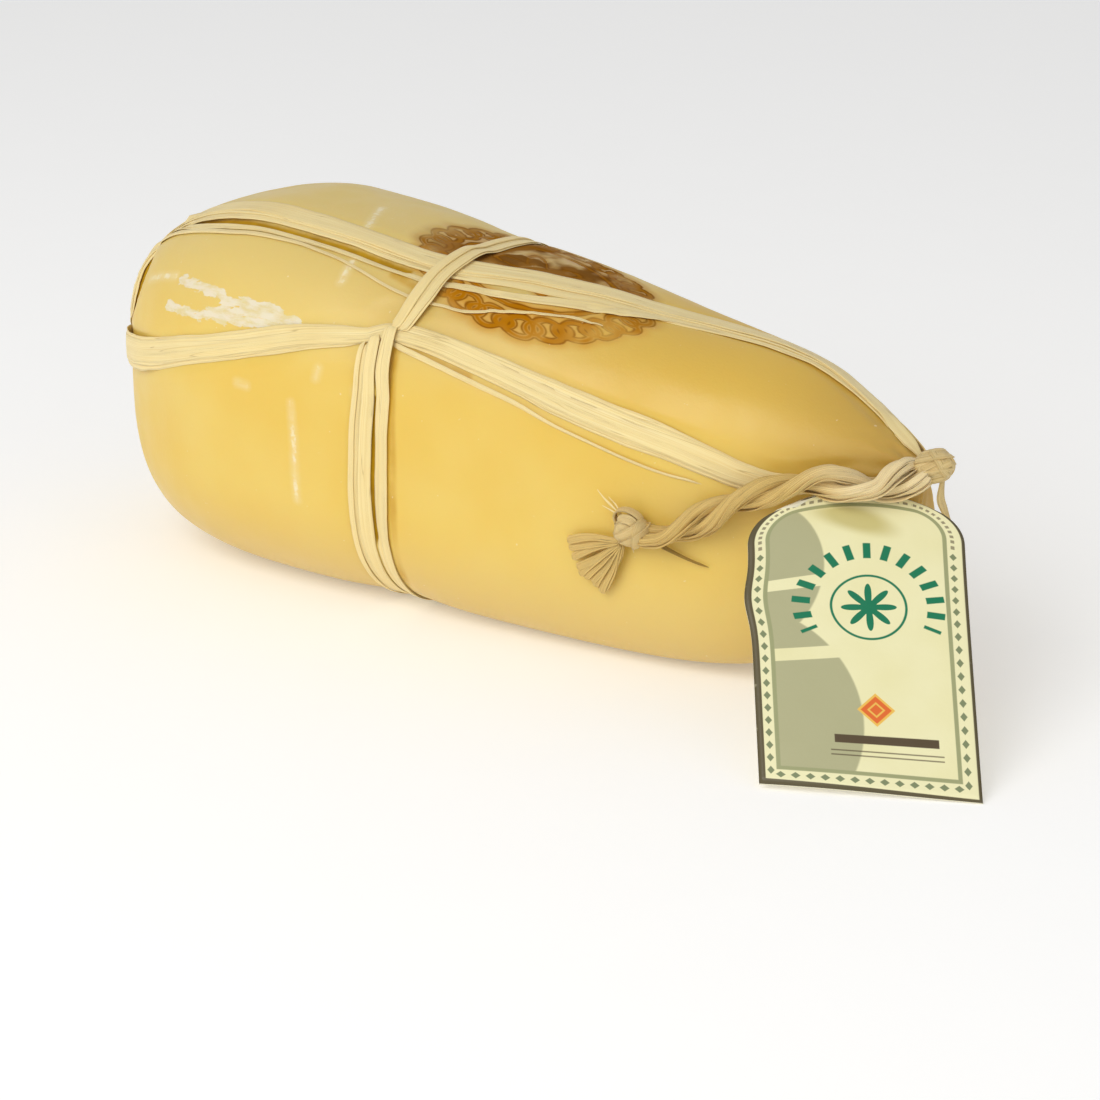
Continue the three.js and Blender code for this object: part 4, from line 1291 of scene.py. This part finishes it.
inner_line = smooth_line(np.array([
    (64.6, -36.6, 41.0), (63.4, -37.4, 42.8), (61.6, -37.6, 43.2), (59.8, -37.2, 42.4), (59.2, -36.4, 40.4),
    (60.2, -36.0, 38.8)]) * 0.001, 40)
arch_outs = np.vstack([arch_line, inner_line]) - ARCH_MIDDLE
arch_outs /= np.linalg.norm(arch_outs, axis=1, keepdims=True)
end_slim = np.append(np.ones(len(end_outs)), np.full(len(arch_outs), ARCH_SLIMNESS))
end_knot = air_piece("end_knot_raffia", end_lines + [arch_line, inner_line], np.vstack([end_outs, arch_outs]),
                     slim=end_slim, strips=1, strip_width=0.0039, thickness=0.0005, lift=0.0, layers=0.0008,
                     tilt=0.3, fold_height=0.0006, end_taper=0.001, step=0.0006, seed=71,
                     material=knot_finish)
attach(end_knot, "root")
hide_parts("end_knot")


WISP_POINTS = 30


def rind_lines(name, routes, rise, material, slim=1.0, **settings):
    """Separate strips that lie over the rind at a falling height, each along its own few map places."""
    lines = [map_line(map_route(points, WISP_POINTS)) for points in routes]
    rises = np.tile(np.linspace(rise[0], rise[1], WISP_POINTS), len(lines))
    slims = np.tile(np.broadcast_to(slim, WISP_POINTS), len(lines))
    mesh = strip_lines(name, lines, rise=rises, slim=slims)
    piece = made_by(raffia_on_rind, name, mesh, cheese=cheese, material=material, step=0.0006, strips=1,
                    **settings)
    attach(piece, "root")
    return piece


wisps = rind_lines("knot_wisps", [
    [(0.73, -10.5), (0.719, -8.4), (0.709, -6.4), (0.7, -4.2)],
    [(0.728, -10.5), (0.716, -9.4), (0.706, -8.6)],
    [(0.729, -10), (0.721, -7.8), (0.712, -6)],
    [(0.738, -17), (0.741, -19), (0.742, -20.4)]],
    (0.003, 0.0008), raffia_finish, strip_width=0.0006, thickness=0.0002, seed=75)
STEM_PALE = colour(166, 134, 56)
STEM_DEEP = colour(132, 102, 32)
STEM_CREASE = colour(92, 66, 18)
stem_finish = leaf_finish("dry_stem", STEM_PALE, STEM_DEEP, STEM_CREASE)
stem = rind_lines("knot_stem", [[(0.764, -17.4), (0.773, -18.5), (0.794, -21), (0.818, -23.3)]],
                  (0.0016, 0.0006), stem_finish, slim=np.linspace(1.0, 0.45, WISP_POINTS), strip_width=0.0013,
                  thickness=0.0007, end_taper=0.002, seed=77)


# Tassel
# The frayed ends of the cord's own raffia strips, left loose below the end knot that holds them. They fan
# out from it and lie on the rind, each cut to its own length.
TASSEL_ROOT = (0.734, -17.2)
TASSEL_TIPS = [
    (0.667, -19.2), (0.669, -20.8), (0.674, -24), (0.679, -26.2), (0.684, -28.6), (0.69, -29.2),
    (0.698, -30), (0.703, -31.4), (0.711, -33), (0.714, -31.6), (0.722, -27.4), (0.726, -23.4)]
TASSEL_BENDS = [1.4, 0.4, 1.2, -0.6, 0.9, 0.2, -0.5, 0.8, 0.3, -0.9, 0.4, -0.3]
tassel_routes = []
for tip, sway in zip(TASSEL_TIPS, TASSEL_BENDS):
    bend = (0.5 * TASSEL_ROOT[0] + 0.5 * tip[0], 0.5 * TASSEL_ROOT[1] + 0.5 * tip[1] + sway)
    tassel_routes.append([TASSEL_ROOT, bend, tip])
tassel = rind_lines("tassel_raffia", tassel_routes, (0.0026, 0.0008), cord_finish,
                    slim=np.interp(np.linspace(0, 1, WISP_POINTS), [0, 0.5, 1], [0.5, 1.0, 1.0]),
                    strip_width=0.0025, thickness=0.0004, layers=0.0018, tilt=0.9, fold_height=0.0005,
                    ragged_ends=0.26, end_taper=0.0003, seed=83)
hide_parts("tassel")


# Tag strand
# One strand of palm leaf, split into three narrow strips with a slight twist. It is tied into the tip knot,
# hangs from it and holds the tag behind its right shoulder.
TIE_ROUTE = np.array([(0.1314, -0.0026, 0.0575), (0.1312, -0.0026, 0.0530), (0.1316, -0.0014, 0.0500),
                      (0.1326, -0.0004, 0.0465)])
tie_line = smooth_line(TIE_ROUTE, 30)
tie_facing = np.tile(np.array(view_back), (len(tie_line), 1))
tag_tie = air_piece("tag_strand_raffia", [tie_line], tie_facing, spread=0.0013, strips=3, strip_width=0.0017,
                    layers=0.0005, tilt=0.5, step=0.0006, seed=91, material=knot_finish)
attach(tag_tie, "root")
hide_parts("tag_tie")


# Tag
# A printed card with an arched top, tied at the tip. It is stiff but a little wavy, and leans
# with its upper edge behind the cord. The print is plain: a border, a rayed rosette, bars and a lozenge.
TAG_WIDTH = 0.051
TAG_LENGTH = 0.0821
TAG_THICKNESS = 0.0005
TAG_SHOULDER = 0.012
TAG_ARCH = 0.0053
TAG_WAVE = 0.0011
TAG_TWIST = 0.0052
TAG_TOP_SPREAD = 0.045
TAG_BULGE = 0.0014
TAG_BULGE_DOWN = 0.03
TAG_BULGE_REACH = 0.008
TAG_FACING = math.radians(37)
TAG_RISE = 0.0511
TAG_SOLID_LENGTH = 0.078
TAG_LEAN = math.asin(TAG_RISE / TAG_SOLID_LENGTH)
TAG_TOP = Vector((0.1114, -0.0132, 0.0546))
TAG_ROWS = 70
TAG_COLUMNS = 41
TAG_ROW_EASE = 0.35
CARD_CREAM = colour(241, 236, 188)
CARD_OLIVE = colour(92, 82, 52)
CARD_GREY = colour(180, 178, 137)
CARD_LINE = colour(160, 163, 118)
CARD_GREEN = colour(0, 120, 82)
CARD_ORANGE = colour(228, 108, 40)
CARD_YELLOW = colour(240, 192, 84)
CARD_BROWN = colour(86, 70, 46)
CARD_CLOUD = colour(237, 231, 178)
CARD_BEADS = colour(128, 138, 100)
CARD_SCUFF = colour(220, 214, 180)
CARD_SHADE = colour(180, 164, 68)
PULP_TONES = (colour(232, 226, 196), colour(243, 239, 216))
HILLS = ((-0.032, 0.021, 0.0245), (-0.034, 0.064, 0.0335))
HILL_BARS = (0.0245, 0.0445)
HILL_BAR_HALF = 0.0017
HILL_BAR_SLOPE = 0.1
SUN_X = 0.0025
SUN_DOWN = 0.033
SUN_PETALS = 8
SUN_PETAL_RADIUS = 0.0042
SUN_PETAL_WAVE = 0.0022
SUN_RING_RADIUS = 0.0086
SUN_RING_HALF = 0.0003
SUN_RAYS = 22
SUN_RAY_HALF = 0.0009
SUN_RAY_RADIUS = 0.0155
SUN_RAY_HALF_LENGTH = 0.0021
SUN_RAY_TURN = 2.0
LOZENGE_DOWN = 0.0605
LOZENGE_SIZES = ((0.0044, CARD_YELLOW), (0.0036, CARD_ORANGE))
LOZENGE_LINE = 0.0018
LOZENGE_LINE_HALF = 0.0003
BAR_X = 0.0045
BAR_DOWN = 0.0685
BAR_HALF = (0.012, 0.0011)
FINE_LINES = (0.0716, 0.0728)
FINE_LINE_HALF = (0.013, 0.00018)
BORDER_LINE = 0.0052
BORDER_INNER = 0.0042
BORDER_MIDDLE = 0.0029
BEAD_PITCH = 0.0034
BEAD_SIZE = 0.00085
DASH_PITCH = 0.002
DASH_HALF = (0.00055, 0.00045)
ARCH_FOOT = (0.0148, 0.0152)
RIM_WIDTH = 0.0012
RIM_SLOPE = 0.018
SHADE_DOWN = 0.0085
SHADE_SLOPE = 0.3
SHADE_SIZE = (0.0105, 0.0042)


def edge(distance, soft=0.00012):
    """1 inside a shape, 0 outside, from the distance to its outline, which is less than 0 inside."""
    return fade(distance, -soft, soft)


def ring_band(distance, radius, half_width):
    """1 within a band on both sides of a radius or a line."""
    return edge(abs(distance - radius) - half_width)


def distance_from(x, down, spot_x, spot_down):
    return ((x - spot_x) ** 2 + (down - spot_down) ** 2) ** 0.5


def printed_picture(card, x, down):
    """Grey hills, a green rayed rosette, a lozenge and bars, all plain shapes."""
    hills = [distance_from(x, down, hill_x, hill_down) - radius for hill_x, hill_down, radius in HILLS]
    pale_bars = [ring_band(down + x * HILL_BAR_SLOPE, bar_down, HILL_BAR_HALF) for bar_down in HILL_BARS]
    card = mix_colours(edge(lower(*hills), 0.0003) * (1 - higher(*pale_bars)), card, CARD_GREY)
    from_sun = distance_from(x, down, SUN_X, SUN_DOWN)
    sun_turn = maths("ARCTAN2", x - SUN_X, SUN_DOWN - down)
    petals = SUN_PETAL_RADIUS + SUN_PETAL_WAVE * maths("COSINE", sun_turn * SUN_PETALS)
    ray_side = maths("WRAP", sun_turn * (SUN_RAYS / FULL_TURN), 0.5, -0.5) * (FULL_TURN / SUN_RAYS)
    rays = edge(abs(ray_side * from_sun) - SUN_RAY_HALF)
    rays = rays * ring_band(from_sun, SUN_RAY_RADIUS, SUN_RAY_HALF_LENGTH)
    rays = rays * edge(abs(sun_turn) - SUN_RAY_TURN, 0.01)
    sun = higher(edge(from_sun - petals), ring_band(from_sun, SUN_RING_RADIUS, SUN_RING_HALF))
    card = mix_colours(higher(sun, rays), card, CARD_GREEN)
    lozenge = abs(x - SUN_X) + abs(down - LOZENGE_DOWN)
    for size, tone in LOZENGE_SIZES:
        card = mix_colours(edge(lozenge - size), card, tone)
    card = mix_colours(ring_band(lozenge, LOZENGE_LINE, LOZENGE_LINE_HALF), card, CARD_YELLOW)
    bar = ring_band(x, BAR_X, BAR_HALF[0]) * ring_band(down, BAR_DOWN, BAR_HALF[1])
    fine = [ring_band(down, line_down, FINE_LINE_HALF[1]) for line_down in FINE_LINES]
    fine = ring_band(x, BAR_X, FINE_LINE_HALF[0]) * higher(*fine)
    card = mix_colours(bar, card, CARD_BROWN)
    return mix_colours(fine * 0.8, card, CARD_BROWN)


def printed_card():
    """Satin printed face: a beaded border inside a dark rim, scuffed edges, and a painted shadow of the cord
    below its upper edge.
    """
    material, tree, shader = new_finish("printed_card")
    uv = tree.nodes.new("ShaderNodeUVMap")
    uv.uv_map = "face"
    share_x, share_y, _ = parts_of(Field(tree, uv.outputs[0]))
    x = (share_x - 0.5) * TAG_WIDTH
    down = share_y * TAG_LENGTH
    place = vector_of(x, down, 0.0)
    beyond_x = abs(x) - (TAG_WIDTH / 2 - TAG_SHOULDER)
    beyond_y = TAG_SHOULDER - down
    corner = (higher(beyond_x, 0) ** 2 + higher(beyond_y, 0) ** 2) ** 0.5
    outside = corner + lower(higher(beyond_x, beyond_y), 0) - TAG_SHOULDER
    inside = lower(outside * -1, TAG_LENGTH - down)
    card = mix_colours(smooth(noise(place, 55.0, 2.0), 0.3, 0.7), CARD_CREAM, CARD_CLOUD)
    card = printed_picture(card, x, down)
    corner_turn = maths("ARCTAN2", higher(beyond_y, 0), higher(beyond_x, 0.00001))
    along_side = higher(down, TAG_SHOULDER) - corner_turn * TAG_SHOULDER
    at_foot = maths("LESS_THAN", TAG_LENGTH - down, inside + 0.00001)
    at_top = maths("LESS_THAN", beyond_x, beyond_y) * maths("LESS_THAN", beyond_x, 0.0)
    along_side = along_side + (x - along_side) * higher(at_foot, at_top)
    from_border = abs(inside - BORDER_MIDDLE)
    bead_side = abs(maths("WRAP", along_side, BEAD_PITCH / 2, -BEAD_PITCH / 2))
    dash_side = abs(maths("WRAP", along_side, DASH_PITCH / 2, -DASH_PITCH / 2))
    arched = fade(down, *ARCH_FOOT)
    beads = edge(from_border + bead_side * 0.75 - BEAD_SIZE) * (1 - arched)
    dashes = edge(from_border - DASH_HALF[1]) * edge(dash_side - DASH_HALF[0]) * arched
    in_border = edge(inside - BORDER_INNER)
    card = mix_colours(edge(inside - BORDER_LINE), card, CARD_LINE)
    card = mix_colours(in_border, card, CARD_CREAM)
    card = mix_colours(beads * in_border, card, CARD_BEADS)
    card = mix_colours(dashes * 0.7, card, CARD_BROWN)
    card = mix_colours(edge(inside + x * RIM_SLOPE - RIM_WIDTH), card, CARD_OLIVE)
    scuffs = smooth(noise(place, 260.0, 3.0), 0.68, 0.8) * smooth(inside, 0.0, RIM_WIDTH, 0.8, 0.0)
    card = mix_colours(scuffs, card, CARD_SCUFF)
    # Painted shadow: the cord's soft olive shadow on the card just below its upper edge.
    shade_down = down - SHADE_DOWN - x * SHADE_SLOPE
    from_shade = ((x / SHADE_SIZE[0]) ** 2 + (shade_down / SHADE_SIZE[1]) ** 2) ** 0.5
    shade = fade(from_shade, 0.45, 1.2) * smooth(inside, 0.004, 0.006)
    card = mix_colours(shade * 0.6, card, CARD_SHADE)
    feed(tree, shader.inputs["Base Color"], card)
    feed(tree, shader.inputs["Roughness"], smooth(noise(place, 120.0), 0.3, 0.7, 0.3, 0.42))
    bump(tree, shader, noise(place, 900.0), 0.00004, 0.6)
    return material


def plain_card():
    """Unprinted back and cut edge of the card."""
    material, tree, shader = new_finish("plain_card")
    place = object_place(tree)
    pulp = noise(place, 500.0, 3.0, 0.6)
    feed(tree, shader.inputs["Base Color"], mix_colours(pulp, *PULP_TONES))
    shader.inputs["Roughness"].default_value = 0.75
    bump(tree, shader, pulp, 0.00006, 0.6)
    return material


def tag_half_width(down):
    """Half the card's width, drawn in round the shoulders of its arched top."""
    corner = np.maximum(TAG_SHOULDER - down, 0)
    return TAG_WIDTH / 2 - TAG_SHOULDER + np.sqrt(TAG_SHOULDER ** 2 - corner ** 2)


def card_mesh(name, rows, columns):
    """The card as one curved sheet, with a flat map of its face."""
    down_share, across = np.meshgrid(np.linspace(0, 1, rows), np.linspace(-1, 1, columns), indexing="ij")
    down = TAG_LENGTH * down_share * (TAG_ROW_EASE + (1 - TAG_ROW_EASE) * down_share)
    x = across * tag_half_width(down)
    arch = TAG_ARCH * across ** 2 * (1 - soft_step(down, 0, TAG_LENGTH / 2))
    ripple = np.sin(3.6 * down / TAG_LENGTH + 0.5) * np.sin(1.6 * across - 0.6)
    turn = Matrix.Rotation(TAG_FACING, 3, "Z") @ Matrix.Rotation(TAG_LEAN, 3, "X")
    near_top = 1 - down_share
    bulge_at = np.exp(-((down - TAG_BULGE_DOWN) / TAG_BULGE_REACH) ** 2)
    bulge = TAG_BULGE * bulge_at * ((1 - across) / 2) ** 2
    bent_x = x * (1 + TAG_TOP_SPREAD * near_top) + 0.5 * TAG_WIDTH * TAG_TOP_SPREAD * near_top - bulge
    flat = np.stack([bent_x, -down - arch, TAG_WAVE * ripple * down_share], axis=-1).reshape(-1, 3)
    forward = np.array((math.sin(TAG_FACING), -math.cos(TAG_FACING), 0.0))
    twist = (TAG_TWIST * across * down_share ** 2).reshape(-1, 1) * forward
    points = flat @ np.array(turn).T + np.array(TAG_TOP) + twist
    mesh = bpy.data.meshes.new(name)
    mesh.from_pydata(points.tolist(), [], grid_faces(rows, columns))
    face_map = mesh.uv_layers.new(name="face")
    shares = np.stack([x.ravel() / TAG_WIDTH + 0.5, down.ravel() / TAG_LENGTH], axis=1)
    loops = np.array([loop.vertex_index for loop in mesh.loops])
    face_map.data.foreach_set("uv", shares[loops].ravel())
    mesh.shade_smooth()
    return mesh


tag = bpy.data.objects.new("arched_tag", card_mesh("arched_tag", TAG_ROWS, TAG_COLUMNS))
bpy.context.scene.collection.objects.link(tag)
tag.data.materials.append(printed_card())
tag.data.materials.append(plain_card())
card_wall = tag.modifiers.new("card", "SOLIDIFY")
card_wall.thickness = TAG_THICKNESS
card_wall.offset = 0
card_wall.material_offset = 1
card_wall.material_offset_rim = 1
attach(tag, "root")
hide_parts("tag")
